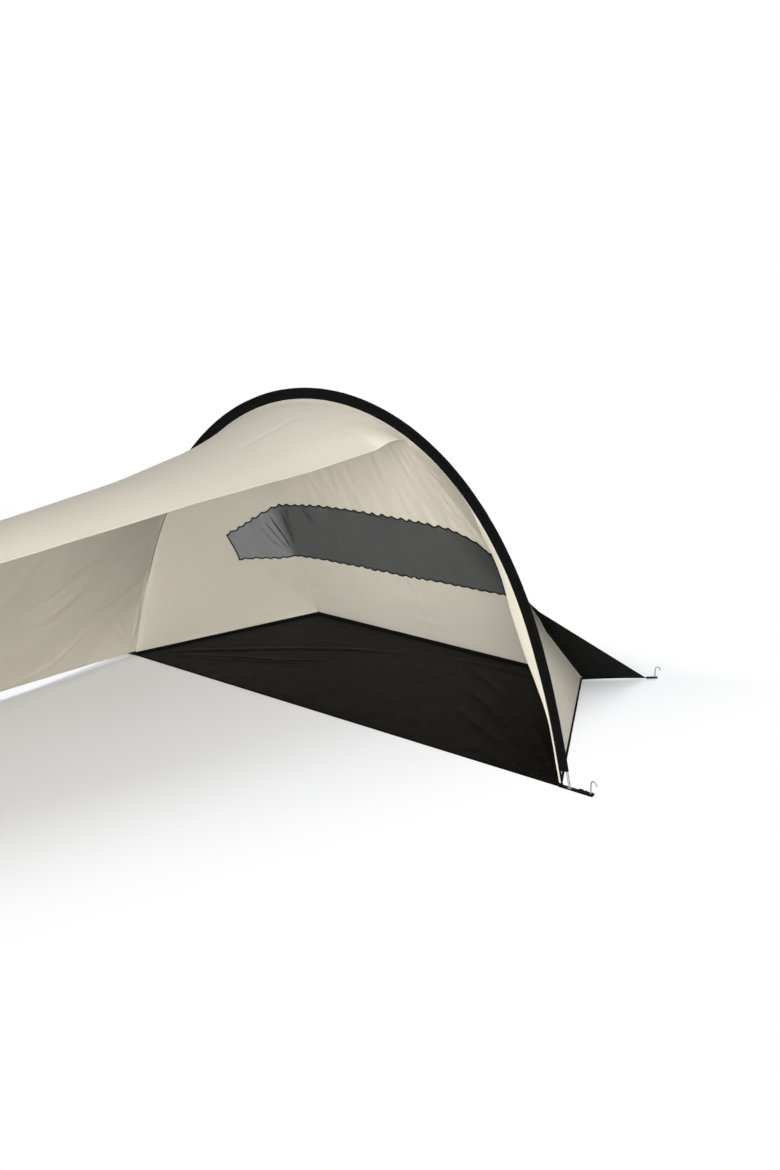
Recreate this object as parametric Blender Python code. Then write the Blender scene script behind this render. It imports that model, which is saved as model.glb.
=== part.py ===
"""Sunshade tarp: one bent hoop over a black groundsheet, an enclosed rear shell with a mesh
window behind it, and an awning in front that runs from the hoop to one upright pole.

Metres, +Z up. The origin is on the ground, midway between the two feet of the hoop.
+X runs along the hoop's feet, +Y to the rear wall, and the awning reaches out along -Y.
"""

import math
from bisect import bisect_right

import bmesh
import bpy
import numpy as np
from mathutils import Matrix, Vector

# Clearances and sheet thickness
GAP = 0.0003                    # between two pieces that touch
CLOTH = 0.002                   # every sewn panel
MESH = 0.0012                   # window netting

# Hoop: a straight rod, bent and held at its feet
POLE_SPAN = 2.400               # between the centres of the feet
FOOT_SLOPE = math.radians(76)   # the rod's slope where it meets the ground
HOOP_LEAN = math.radians(1.7)   # towards the rear wall
POLE_RADIUS = 0.00475
POLE_SECTIONS = 9
SOCKET_FIT = 0.00035            # radial play of a spigot in its socket
SPIGOT_RADIUS = 0.0036
SPIGOT_LENGTH = 0.045
TIP_LENGTH = 0.018              # bare end fitting, ball centre to the first section
POLE_SIDES = 8

# Sleeve: a tunnel for the pole with a flat web down to the seam
SEAM_INSET = 0.038              # pole centre to seam
SLEEVE_PLAY = 0.0006
SLEEVE_WALL = 0.0016
WEB_HALF = 0.0012
SLEEVE_END_HEIGHT = 0.070       # the pole is bare below this
SLEEVE_STATIONS = 44

# Ground plan
CORNER_INSET = 0.042            # from a pole foot in to the groundsheet's front corner
GROUND_DEPTH = 0.967
REAR_WIDTH = 1.552
FRONT_LIP = 0.012               # groundsheet in front of the hoop's plane
SHEET_THICK = 0.003
HEM_THICK = 0.004
HEM_HEIGHT = 0.014
FRONT_TAPE_WIDTH = 0.012
FRONT_TAPE_THICK = 0.004

# Rear shell, placed by shares of the half hoop measured along the pole
CORNER_SEAM_SHARE = 0.22
FIN_TOP_SHARE = 0.568           # the fin's seam at the hoop
FIN_SHARE = 0.600               # the same seam once it is past the window's end
WINDOW_SILL = 0.440
WINDOW_HEAD = 0.795
WINDOW_HEAD_FALL = 0.5525       # metres of height per share, beyond the level stretch
WINDOW_HEAD_LEVEL = 0.16
WINDOW_END_TOP = 0.522
WINDOW_END_SILL = 0.585
BINDING_RADIUS = 0.0025

# Corner fins
FIN_OUT = 0.247                 # fin tip past the rear corner, along X
FIN_BACK = 0.185                # and along Y
FIN_TIP_HEIGHT = 0.030
FIN_ARCH = 0.003                # rise of the fin's lower edge
FIN_OUTER_SHARE = 0.617         # where the fin's outer edge reaches the sleeve
FIN_TOP_INSET = 0.014           # and how far in from the pole centre

# Facing on the hoop's right leg
FACING_TOP_SHARE = 0.400
FACING_FULL_SHARE = 0.500       # where its upper part reaches its own width
FACING_WIDENS = (0.54, 0.66)    # shares between which it grows to its widest
FACING_TAPERS = (0.70, 0.88)    # and between which it narrows to the thread at the foot
FACING_WIDTH = 0.047
FACING_UPPER_PART = 0.62        # its width beside the window, as a part of the widest
FACING_END_WIDTH = 0.0025

# Awning
AWNING_TOP_SHARE = 0.240        # where its front edge leaves the hoop, right of the crown
UPRIGHT_X = -0.100
AWNING_REACH = 3.000
AWNING_HEIGHT = 1.050
PEG_CORNER_X = -1.420
PEG_CORNER_Y = -2.300
PEG_CORNER_HEIGHT = 0.030
PEG_HEADING = math.radians(-143)
AWNING_FOOT_HEIGHT = 0.022      # its lower corner at the hoop's left foot
FRONT_EDGE_SAG = 0.009
FRONT_EDGE_BOW = 0.013
HEM_RISE = 0.029
ROOF_HOLLOW = 1.764             # how fast the roof flattens away from the hoop
ROOF_LIFT = 0.124
BIND_WIDTH = 0.008
BIND_THICK = 0.003

# Webbing, eyelets and pegs
STRAP_WIDTH = 0.025
STRAP_THICK = 0.0025
STRAP_REACH = 0.097             # pole foot to the strap's outer end
STRAP_LIFT = 0.0015             # room for the eyelet's lower flange
STRAP_SINGLE = 0.014            # single layer past the eyelet, then the end is doubled
STRAP_DOUBLED = 0.00475
PEG_FROM_END = 0.012
EYELET_BORE = 0.0038
EYELET_BARREL = 0.0052
EYELET_FLANGE = 0.0082
FLANGE_THICK = 0.0012
RISER_WIDTH = 0.012
TAB_WIDTH = 0.015
TAB_THICK = 0.0018
TAB_LENGTH = 0.052
TAB_END_HEIGHT = 0.006
PEG_RADIUS = 0.0025
PEG_PLAY = 0.0007
PEG_DEPTH = 0.115               # driven into the ground
PEG_STEM = 0.052                # straight stem above the ground
PEG_HOOK_TURN = math.radians(150)
PEG_HOOK_RADIUS = 0.009
PEG_HOOK_TAIL = 0.014
PEG_POINT = 0.012

# Upright pole
UPRIGHT_TAB = 0.036             # awning corner to the upright's axis
UPRIGHT_TAB_WIDTH = 0.030
UPRIGHT_HEADING = math.radians(-72.5)
PLUG_LENGTH = 0.025             # tip fitting inside the upper tube
TIP_SHOULDER = 0.010            # its height below the grommet
UPPER_RADIUS = 0.0080
LOWER_RADIUS = 0.0095
TUBE_WALL = 0.00115
TUBE_PLAY = 0.00035
UPRIGHT_OVERLAP = 0.160
LOWER_TOP = 0.600
FOOT_HEIGHT = 0.024
FOOT_FLOOR = 0.006
FOOT_WALL = 0.003
COLLAR_HEIGHT = 0.042
COLLAR_WALL = 0.004
PIN_RADIUS = 0.003
PIN_RISE = 0.012
PIN_SWING = math.radians(12)
GROMMET_BARREL = 0.0052
GROMMET_FLANGE = 0.0095

# Worked out from the sizes above
HALF_SPAN = POLE_SPAN / 2
CORNER_X = HALF_SPAN - CORNER_INSET
REAR_X = REAR_WIDTH / 2
SHELL_BASE = HEM_HEIGHT + GAP + CLOTH / 2
TUNNEL_BORE = POLE_RADIUS + SLEEVE_PLAY
TUNNEL_RADIUS = TUNNEL_BORE + SLEEVE_WALL
STRAP_TOP = STRAP_LIFT + STRAP_THICK
EYELET_TOP = STRAP_TOP + GAP + FLANGE_THICK
BALL_HEIGHT = EYELET_TOP + math.sqrt((POLE_RADIUS + GAP) ** 2 - EYELET_BORE ** 2)


def clear_scene():
    for obj in list(bpy.data.objects):
        bpy.data.objects.remove(obj, do_unlink=True)


def material(name, colour, roughness, metallic=0.0):
    mat = bpy.data.materials.get(name) or bpy.data.materials.new(name)
    mat.use_nodes = True
    shader = mat.node_tree.nodes["Principled BSDF"]
    shader.inputs["Base Color"].default_value = (*colour, 1.0)
    shader.inputs["Roughness"].default_value = roughness
    shader.inputs["Metallic"].default_value = metallic
    return mat


def sand_cloth(name):
    return material(name, (0.60, 0.54, 0.44), 0.85)


def black_cloth(name):
    return material(name, (0.012, 0.012, 0.011), 0.80)


def webbing(name):
    return material(name, (0.010, 0.010, 0.010), 0.75)


def silver(name):
    return material(name, (0.62, 0.62, 0.63), 0.30, 1.0)


def add_object(name, bm, mat, smooth=True, origin=(0.0, 0.0, 0.0)):
    """Make a named object; its vertices are given in world space, its origin is a joint's place."""
    bmesh.ops.transform(bm, matrix=Matrix.Translation(-Vector(origin)), verts=bm.verts)
    mesh = bpy.data.meshes.new(name)
    bm.to_mesh(mesh)
    bm.free()
    obj = bpy.data.objects.new(name, mesh)
    obj.location = origin
    bpy.context.scene.collection.objects.link(obj)
    mesh.materials.append(mat)
    if smooth:
        mesh.shade_smooth()
        mesh.set_sharp_from_angle(angle=math.radians(40))
    return obj


# The hoop's curve

def rod_table(steps=4000):
    """The shape of a bent straight rod, from its left foot: arc length, x, z and slope."""
    modulus = math.sin(FOOT_SLOPE / 2)
    phi = np.linspace(-math.pi / 2, math.pi / 2, steps + 1)
    bend = np.sqrt(1 - (modulus * np.sin(phi)) ** 2)
    d_arc = 1 / bend
    d_x = (1 - 2 * (modulus * np.sin(phi)) ** 2) / bend
    width = math.pi / steps
    arc = np.concatenate([[0], np.cumsum((d_arc[1:] + d_arc[:-1]) / 2) * width])
    x = np.concatenate([[0], np.cumsum((d_x[1:] + d_x[:-1]) / 2) * width])
    scale = POLE_SPAN / x[-1]
    z = 2 * modulus * np.cos(phi)
    slope = -2 * np.arcsin(modulus * np.sin(phi))
    return arc * scale, x * scale - HALF_SPAN, z * scale, slope


ROD_ARC, ROD_X, ROD_Z, ROD_SLOPE = rod_table()
ROD_LENGTH = float(ROD_ARC[-1])


def rod_point(arc, inset=0.0, back=0.0):
    """A point at this length along the bent rod, set inwards from it and back from its plane."""
    x = float(np.interp(arc, ROD_ARC, ROD_X))
    z = float(np.interp(arc, ROD_ARC, ROD_Z))
    slope = float(np.interp(arc, ROD_ARC, ROD_SLOPE))
    x += inset * math.sin(slope)
    z -= inset * math.cos(slope)
    along = z * math.sin(HOOP_LEAN) + back * math.cos(HOOP_LEAN)
    return Vector((x, along, z * math.cos(HOOP_LEAN) - back * math.sin(HOOP_LEAN)))


def arc_at_share(share):
    """Length along the pole for a share of the half hoop: -1 left foot, 0 crown, 1 right foot."""
    return ROD_LENGTH * (1 + share) / 2


def smooth_step(value, start, end):
    """0 at the start, 1 at the end, and smooth between."""
    part = min(max((value - start) / (end - start), 0.0), 1.0)
    return part * part * (3 - 2 * part)


def share_at_height(height, inset):
    """The share on the right leg where the line set in from the pole is this high."""
    low, high = 0.5, 1.0
    for _ in range(50):
        middle = (low + high) / 2
        if rod_point(arc_at_share(middle), inset).z > height:
            low = middle
        else:
            high = middle
    return low


SLEEVE_END_SHARE = share_at_height(SLEEVE_END_HEIGHT, 0.0)
SLEEVE_ARCS = [arc_at_share(SLEEVE_END_SHARE * (2 * i / SLEEVE_STATIONS - 1))
               for i in range(SLEEVE_STATIONS + 1)]
HOOP_ARCS = [0.0] + SLEEVE_ARCS + [ROD_LENGTH]


def hoop(arc, inset=0.0, back=0.0):
    """The same point on the faceted hoop that the sleeve, the pole and the panels all share."""
    index = min(max(bisect_right(HOOP_ARCS, arc) - 1, 0), len(HOOP_ARCS) - 2)
    before, after = HOOP_ARCS[index], HOOP_ARCS[index + 1]
    part = (arc - before) / (after - before)
    return rod_point(before, inset, back).lerp(rod_point(after, inset, back), part)


def arcs_between(start, end):
    """Both ends and the hoop's facet corners between them, in order from the start."""
    low, high = min(start, end), max(start, end)
    inner = [arc for arc in HOOP_ARCS if low + GAP < arc < high - GAP]
    if start > end:
        inner.reverse()
    return [start] + inner + [end]


def hoop_ring(arc, outline):
    """A ring square to the pole; the outline gives (outwards, backwards) pairs."""
    return [hoop(arc, -out, back) for out, back in outline]


def circle(radius, sides, turn=0.0):
    angles = [turn + 2 * math.pi * i / sides for i in range(sides)]
    return [(radius * math.cos(a), radius * math.sin(a)) for a in angles]


def polar(radius, degrees):
    angle = math.radians(degrees)
    return radius * math.cos(angle), radius * math.sin(angle)


# Solids from rings and grids

def loft(rings, closed=False):
    """Join rings of equal count; the ends are capped unless the last ring meets the first."""
    bm = bmesh.new()
    loops = [[bm.verts.new(point) for point in ring] for ring in rings]
    pairs = list(zip(loops, loops[1:]))
    if closed:
        pairs.append((loops[-1], loops[0]))
    for first, second in pairs:
        count = len(first)
        for i in range(count):
            j = (i + 1) % count
            bm.faces.new((first[i], first[j], second[j], second[i]))
    if not closed:
        bm.faces.new(list(reversed(loops[0])))
        bm.faces.new(loops[-1])
    face_outwards(bm)
    return bm


def face_outwards(bm):
    bmesh.ops.recalc_face_normals(bm, faces=bm.faces)
    if bm.calc_volume(signed=True) < 0:
        bmesh.ops.reverse_faces(bm, faces=bm.faces)


def turned(name, profile, centre, mat, sides=16, ring=False, smooth=True, origin=(0, 0, 0)):
    """Spin a profile of (radius, height) pairs about an upright axis through the centre."""
    bm = bmesh.new()
    centre = Vector(centre)
    points = [bm.verts.new(centre + Vector((r, 0, h))) for r, h in profile]
    edges = [bm.edges.new(pair) for pair in zip(points, points[1:])]
    if ring:
        edges.append(bm.edges.new((points[-1], points[0])))
    bmesh.ops.spin(bm, geom=points + edges, cent=centre, axis=(0, 0, 1),
                   angle=2 * math.pi, steps=sides, use_merge=True)
    bmesh.ops.remove_doubles(bm, verts=bm.verts, dist=0.00001)
    face_outwards(bm)
    return add_object(name, bm, mat, smooth, origin)


def cloth(name, rows, mat, thickness=CLOTH, open_cells=()):
    """A sewn panel: a grid of points, thickened evenly on both sides."""
    bm = bmesh.new()
    grid = [[bm.verts.new(point) for point in row] for row in rows]
    for i in range(len(grid) - 1):
        for j in range(len(grid[0]) - 1):
            if (i, j) not in open_cells:
                bm.faces.new((grid[i][j], grid[i][j + 1], grid[i + 1][j + 1], grid[i + 1][j]))
    loose = [v for v in bm.verts if not v.link_faces]
    bmesh.ops.delete(bm, geom=loose, context="VERTS")
    bmesh.ops.remove_doubles(bm, verts=bm.verts, dist=0.00001)
    bmesh.ops.recalc_face_normals(bm, faces=bm.faces)
    obj = add_object(name, bm, mat)
    solid = obj.modifiers.new("thickness", "SOLIDIFY")
    solid.thickness = thickness
    solid.offset = 0
    return obj


def path_frames(points, closed=False):
    """Tangent and two square directions at each point, carried along without twist."""
    count = len(points)
    tangents = []
    for i in range(count):
        after = points[(i + 1) % count] if closed else points[min(i + 1, count - 1)]
        before = points[(i - 1) % count] if closed else points[max(i - 1, 0)]
        tangents.append((after - before).normalized())
    start = Vector((0, 0, 1))
    if abs(tangents[0].z) > 0.9:
        start = Vector((0, 1, 0))
    side = tangents[0].cross(start).normalized()
    frames = []
    for tangent in tangents:
        side = (side - tangent * side.dot(tangent)).normalized()
        frames.append((tangent, side, tangent.cross(side)))
    return frames


def rod_along(name, points, radii, mat, sides=8, closed=False, origin=(0, 0, 0)):
    """A round rod through the points; a closed one is a loop."""
    rings = []
    for point, radius, (_, side, up) in zip(points, radii, path_frames(points, closed)):
        rings.append([point + side * a + up * b for a, b in circle(radius, sides)])
    return add_object(name, loft(rings, closed), mat, origin=origin)


def cut(obj, cutter):
    """Take one guide solid away from an object."""
    cutter.hide_render = True
    cutter.display_type = "WIRE"
    boolean = obj.modifiers.new("cut", "BOOLEAN")
    boolean.operation = "DIFFERENCE"
    boolean.object = cutter


def drill(obj, centre, radius, sides=16):
    """An upright hole right through a strap."""
    reach = 0.03
    profile = [(0, -reach), (radius, -reach), (radius, reach), (0, reach)]
    cut(obj, turned("guide", profile, centre, webbing("guide"), sides))


def ribbon(name, stations, width_dir, mat):
    """A flat strap; each station is (centre of its underside, width, thickness)."""
    rings = []
    for base, width, thickness in stations:
        half = width_dir * (width / 2)
        top = Vector((0, 0, thickness))
        rings.append([base - half, base + half, base + half + top, base - half + top])
    return add_object(name, loft(rings), mat, smooth=False)


# The hoop pole

def pole_rings(*stretches):
    """Rings round the pole; each stretch is (radius, where it starts, where it ends)."""
    rings = []
    for radius, start, end in stretches:
        rings += [hoop_ring(arc, circle(radius, POLE_SIDES)) for arc in arcs_between(start, end)]
    return rings


def make_pole():
    """Nine sections: each has a socket at its start, and a spigot that enters the next."""
    ball = ROD_LENGTH * (1 - share_at_height(BALL_HEIGHT, 0.0)) / 2
    first = ball + TIP_LENGTH
    length = (ROD_LENGTH - 2 * first) / POLE_SECTIONS
    socket = SPIGOT_RADIUS + SOCKET_FIT
    depth = SPIGOT_LENGTH + GAP * 5
    for index in range(POLE_SECTIONS):
        start = first + index * length + GAP / 2
        end = first + (index + 1) * length - GAP / 2
        if index == POLE_SECTIONS - 1:
            far_end = (socket, end, end - depth)
        else:
            far_end = (SPIGOT_RADIUS, end, end + SPIGOT_LENGTH)
        rings = pole_rings((socket, start + depth, start), (POLE_RADIUS, start, end), far_end)
        add_object(f"pole_section_{index + 1}", loft(rings), silver("pole"))
    for name, sign, centre in (("left", 1, ball), ("right", -1, ROD_LENGTH - ball)):
        rings = []
        for degrees in (80, 60, 40, 20):
            out, away = polar(POLE_RADIUS, degrees)
            rings.append(hoop_ring(centre - sign * away, circle(out, POLE_SIDES)))
        shoulder = centre + sign * (TIP_LENGTH - GAP / 2)
        spigot_end = shoulder + sign * SPIGOT_LENGTH
        rings += pole_rings((POLE_RADIUS, centre, shoulder), (SPIGOT_RADIUS, shoulder, spigot_end))
        add_object(f"pole_tip_{name}", loft(rings), silver("pole_tip"))


def make_sleeve():
    """A tunnel round the pole and a flat web in to the seam, open at both ends."""
    neck = TUNNEL_RADIUS * 1.35
    round_angles = [36 * i for i in range(-4, 5)]
    web_angles = [158.4, 172.8, 187.2, 201.6]
    outline = [polar(TUNNEL_RADIUS, degrees) for degrees in round_angles]
    outline += [(-neck, WEB_HALF), (-SEAM_INSET, WEB_HALF)]
    outline += [(-SEAM_INSET, -WEB_HALF), (-neck, -WEB_HALF)]
    bore = [polar(TUNNEL_BORE, degrees) for degrees in round_angles + web_angles]
    rings = [hoop_ring(arc, outline) for arc in SLEEVE_ARCS]
    rings += [hoop_ring(arc, bore) for arc in reversed(SLEEVE_ARCS)]
    add_object("pole_sleeve", loft(rings, closed=True), black_cloth("sleeve"))


# Rear shell

def seam_line(share, back):
    """Where a panel starts, just inside the sleeve's seam."""
    return hoop(arc_at_share(share), SEAM_INSET + GAP + CLOTH / 2, back)


PANEL_BACK = GAP / 2 + CLOTH / 2
SHELL_FOOT_SHARE = share_at_height(SHELL_BASE, SEAM_INSET)


def shell_base_point(share):
    """Where the straight line from this point of the hoop meets the top of the hem."""
    if abs(share) >= CORNER_SEAM_SHARE:
        x = math.copysign(REAR_X, share)
    else:
        x = REAR_X * share / CORNER_SEAM_SHARE
    return Vector((x, GROUND_DEPTH, SHELL_BASE))


def shell_point(share, fall):
    """The shell: straight lines from the hoop (fall 0) to the hem (fall 1)."""
    share = max(-SHELL_FOOT_SHARE, min(SHELL_FOOT_SHARE, share))
    return seam_line(share, PANEL_BACK).lerp(shell_base_point(share), fall)


def shell_normal(share, fall):
    """Unit normal of the shell, out of the shelter."""
    step = 0.002
    across = shell_point(share + step, fall) - shell_point(share - step, fall)
    down = shell_point(share, min(fall + step, 1)) - shell_point(share, fall - step)
    normal = across.cross(down).normalized()
    if normal.y + normal.z < 0:
        normal.negate()
    return normal


def fall_at_height(share, height):
    top = seam_line(share, PANEL_BACK).z
    return (top - height) / (top - SHELL_BASE)


def window_head(share):
    return WINDOW_HEAD - WINDOW_HEAD_FALL * max(0.0, abs(share) - WINDOW_HEAD_LEVEL)


def window_falls(share):
    """Fall of the window's upper and lower edges at this share, held level past its ends."""
    share = abs(share)
    top_share = min(share, WINDOW_END_TOP)
    sill_share = min(share, WINDOW_END_SILL)
    return fall_at_height(top_share, window_head(top_share)), fall_at_height(sill_share, WINDOW_SILL)


SEAM_COLUMNS = 4
WINDOW_COLUMNS = 5
END_COLUMNS = 5
HEAD_ROWS = 6
WINDOW_ROWS = 4
SILL_ROWS = 6


def half_shares(window_part):
    """Shares of one half's columns; window_part runs from 0 at its head to 1 at its sill."""
    end = WINDOW_END_TOP + (WINDOW_END_SILL - WINDOW_END_TOP) * window_part
    fin = FIN_TOP_SHARE + (FIN_SHARE - FIN_TOP_SHARE) * max(0.0, 2 * window_part - 1)
    shares = [CORNER_SEAM_SHARE * i / SEAM_COLUMNS for i in range(SEAM_COLUMNS)]
    span = end - CORNER_SEAM_SHARE
    shares += [CORNER_SEAM_SHARE + span * i / WINDOW_COLUMNS for i in range(WINDOW_COLUMNS)]
    shares += [end, fin]
    rest = SHELL_FOOT_SHARE - fin
    shares += [fin + rest * i / (END_COLUMNS - 1) for i in range(1, END_COLUMNS)]
    return shares


def all_shares(window_part):
    half = half_shares(window_part)
    return [-share for share in reversed(half[1:])] + half


def shell_rows():
    rows = []
    for i in range(HEAD_ROWS):
        part = i / HEAD_ROWS
        rows.append([(share, window_falls(share)[0] * part) for share in all_shares(0)])
    for i in range(WINDOW_ROWS + 1):
        part = i / WINDOW_ROWS
        row = []
        for share in all_shares(part):
            head, sill = window_falls(share)
            row.append((share, head + (sill - head) * part))
        rows.append(row)
    for i in range(1, SILL_ROWS + 1):
        part = i / SILL_ROWS
        row = []
        for share in all_shares(1):
            sill = window_falls(share)[1]
            row.append((share, sill + (1 - sill) * part))
        rows.append(row)
    return rows


def window_outline(inset_share=0.0, inset_fall=0.0):
    """The window's grid of (share, fall), drawn in from the opening's edge on every side."""
    rows = []
    for i in range(WINDOW_ROWS + 1):
        part = i / WINDOW_ROWS
        row = []
        half = half_shares(part)[:SEAM_COLUMNS + WINDOW_COLUMNS + 1]
        half[-1] -= inset_share
        for share in [-s for s in reversed(half[1:])] + half:
            head, sill = window_falls(share)
            head += inset_fall
            sill -= inset_fall
            row.append((share, head + (sill - head) * part))
        rows.append(row)
    return rows


def make_rear_shell():
    rows = shell_rows()
    centre = len(rows[0]) // 2
    reach = SEAM_COLUMNS + WINDOW_COLUMNS
    window = {(i, j) for i in range(HEAD_ROWS, HEAD_ROWS + WINDOW_ROWS)
              for j in range(centre - reach, centre + reach)}
    points = [[shell_point(*cell) for cell in row] for row in rows]
    cloth("rear_canopy", points, sand_cloth("rear_canopy"), open_cells=window)
    net = [[shell_point(*cell) for cell in row] for row in window_outline(0.0005, 0.0006)]
    cloth("window_mesh", net, material("window_mesh", (0.07, 0.07, 0.068), 0.9), MESH)
    rows = window_outline()
    loop = rows[0] + [row[-1] for row in rows[1:-1]] + rows[-1][::-1]
    loop += [row[0] for row in reversed(rows[1:-1])]
    depth = CLOTH / 2 + GAP + BINDING_RADIUS
    points = [shell_point(*cell) - shell_normal(*cell) * depth for cell in loop]
    rod_along("window_binding", points, [BINDING_RADIUS] * len(points),
              webbing("window_binding"), sides=6, closed=True)


def facing_width(share):
    """Narrow at the top, wider beside the window, widest below it, and a thread at the foot."""
    upper = smooth_step(share, FACING_TOP_SHARE, FACING_FULL_SHARE)
    lower = FACING_UPPER_PART + (1 - FACING_UPPER_PART) * smooth_step(share, *FACING_WIDENS)
    taper = 1 - smooth_step(share, *FACING_TAPERS)
    return FACING_END_WIDTH + FACING_WIDTH * upper * lower * taper


def make_facing():
    """A facing that lies in the hoop's plane along its right leg."""
    rows = []
    steps = 26
    last = share_at_height(SHELL_BASE, SEAM_INSET)
    for i in range(steps + 1):
        share = FACING_TOP_SHARE + (last - FACING_TOP_SHARE) * i / steps
        width = facing_width(share)
        start = SEAM_INSET + GAP
        arc = arc_at_share(share)
        rows.append([hoop(arc, start + width * j / 2, -PANEL_BACK) for j in range(3)])
    cloth("hoop_facing", rows, sand_cloth("hoop_facing"))


def fin_seam(side):
    """The line on the shell that a fin is sewn to, from the hoop to the rear corner."""
    column = SEAM_COLUMNS + WINDOW_COLUMNS + 1
    stand_off = CLOTH + 2 * GAP
    points = []
    for row in shell_rows():
        share, fall = row[len(row) // 2 + side * column]
        normal = shell_normal(share, min(max(fall, 0.02), 0.9))
        points.append(shell_point(share, fall) + normal * stand_off)
    points[0].y += CLOTH / 2
    return points


def make_fins():
    """A black triangle at each rear corner, sewn down the shell and back of the sleeve."""
    for name, side in (("left", -1), ("right", 1)):
        seam = fin_seam(side)
        runs = [0.0]
        for before, after in zip(seam, seam[1:]):
            runs.append(runs[-1] + (after - before).length)
        back = WEB_HALF + GAP + CLOTH / 2
        sleeve_point = hoop(arc_at_share(side * FIN_OUTER_SHARE), FIN_TOP_INSET, back)
        tip = fin_tip(side)
        rows = []
        for inner, run in zip(seam, runs):
            part = run / runs[-1]
            outer = sleeve_point.lerp(tip, part)
            row = [inner.lerp(outer, j / 5) for j in range(6)]
            for j, point in enumerate(row):
                point.z += FIN_ARCH * 4 * (j / 5) * (1 - j / 5) * part ** 3
            rows.append(row)
        cloth(f"corner_fin_{name}", rows, black_cloth("corner_fin"))
        outwards = Vector((side * FIN_OUT, FIN_BACK, 0)).normalized()
        make_tab(f"fin_loop_{name}", tip, outwards)
        make_peg(f"fin_peg_{name}", tab_hole(tip, outwards), outwards)


def fin_tip(side):
    return Vector((side * (REAR_X + FIN_OUT), GROUND_DEPTH + FIN_BACK, FIN_TIP_HEIGHT))


# Ground parts

def make_groundsheet():
    """A trapezoid, flat underneath, with low creases that fan out of its front corners."""
    inset = HEM_THICK / 2 + GAP
    columns, rows = 26, 10
    front_y, back_y = -FRONT_LIP, GROUND_DEPTH - inset
    slant = (CORNER_X - REAR_X) / GROUND_DEPTH
    side_inset = inset * math.hypot(1, slant)
    bm = bmesh.new()
    grid = []
    for j in range(rows + 1):
        y = front_y + (back_y - front_y) * j / rows
        half = CORNER_X - max(y, 0) * slant - side_inset
        line = []
        for i in range(columns + 1):
            x = half * (2 * i / columns - 1)
            edge = min(i, columns - i, j, rows - j)
            height = SHEET_THICK + (crease_height(x, y) if edge else 0.0)
            line.append(bm.verts.new((x, y, height)))
        grid.append(line)
    for j in range(rows):
        for i in range(columns):
            bm.faces.new((grid[j][i], grid[j][i + 1], grid[j + 1][i + 1], grid[j + 1][i]))
    border = [e for e in bm.edges if e.is_boundary]
    lower = bmesh.ops.extrude_edge_only(bm, edges=border)["geom"]
    for vert in [g for g in lower if isinstance(g, bmesh.types.BMVert)]:
        vert.co.z = 0.0
    floor = [g for g in lower if isinstance(g, bmesh.types.BMEdge) and g.is_boundary]
    bmesh.ops.contextual_create(bm, geom=floor)
    face_outwards(bm)
    add_object("groundsheet", bm, black_cloth("groundsheet"))


def crease_height(x, y):
    """Low ridges along lines that fan out of the two front corners."""
    height = 0.0
    for side in (-1, 1):
        along = CORNER_X - side * x
        angle = math.atan2(y + 0.02, along)
        for centre in (0.10, 0.26, 0.45):
            ridge = math.exp(-((angle - centre) * along / 0.035) ** 2)
            height += 0.006 * ridge * math.exp(-((along - 0.55) / 0.40) ** 2)
    return min(height, 0.007)


def hem_bar(name, start, end, mat):
    """An upright binding strip between the groundsheet's edge and the shell."""
    along = (end - start).normalized()
    half = Vector((-along.y, along.x, 0)) * (HEM_THICK / 2)
    up = Vector((0, 0, HEM_HEIGHT))
    rings = [[p - half, p + half, p + half + up, p - half + up] for p in (start, end)]
    add_object(name, loft(rings), mat, smooth=False)


def make_hems():
    mitre = HEM_THICK / 2 + GAP
    left = Vector((-REAR_X, GROUND_DEPTH, 0))
    right = Vector((REAR_X, GROUND_DEPTH, 0))
    for name, side, rear in (("left", -1, left), ("right", 1, right)):
        front = Vector((side * CORNER_X, 0, 0))
        along = (rear - front).normalized()
        clear_riser = WEB_HALF + GAP + HEM_THICK * 0.3
        hem_bar(f"side_hem_{name}", front + along * clear_riser, rear - along * mitre * 1.6,
                webbing("side_hem"))
    shift = Vector((mitre * 0.2, 0, 0))
    hem_bar("rear_hem", left + shift, right - shift, webbing("rear_hem"))
    low, high = -FRONT_LIP - GAP - FRONT_TAPE_WIDTH, -FRONT_LIP - GAP
    middle = (low + high) / 2
    half = CORNER_X - HEM_THICK
    stations = [(Vector((x, middle, 0)), FRONT_TAPE_WIDTH, FRONT_TAPE_THICK) for x in (-half, half)]
    ribbon("groundsheet_front_tape", stations, Vector((0, 1, 0)), webbing("front_tape"))


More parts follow.
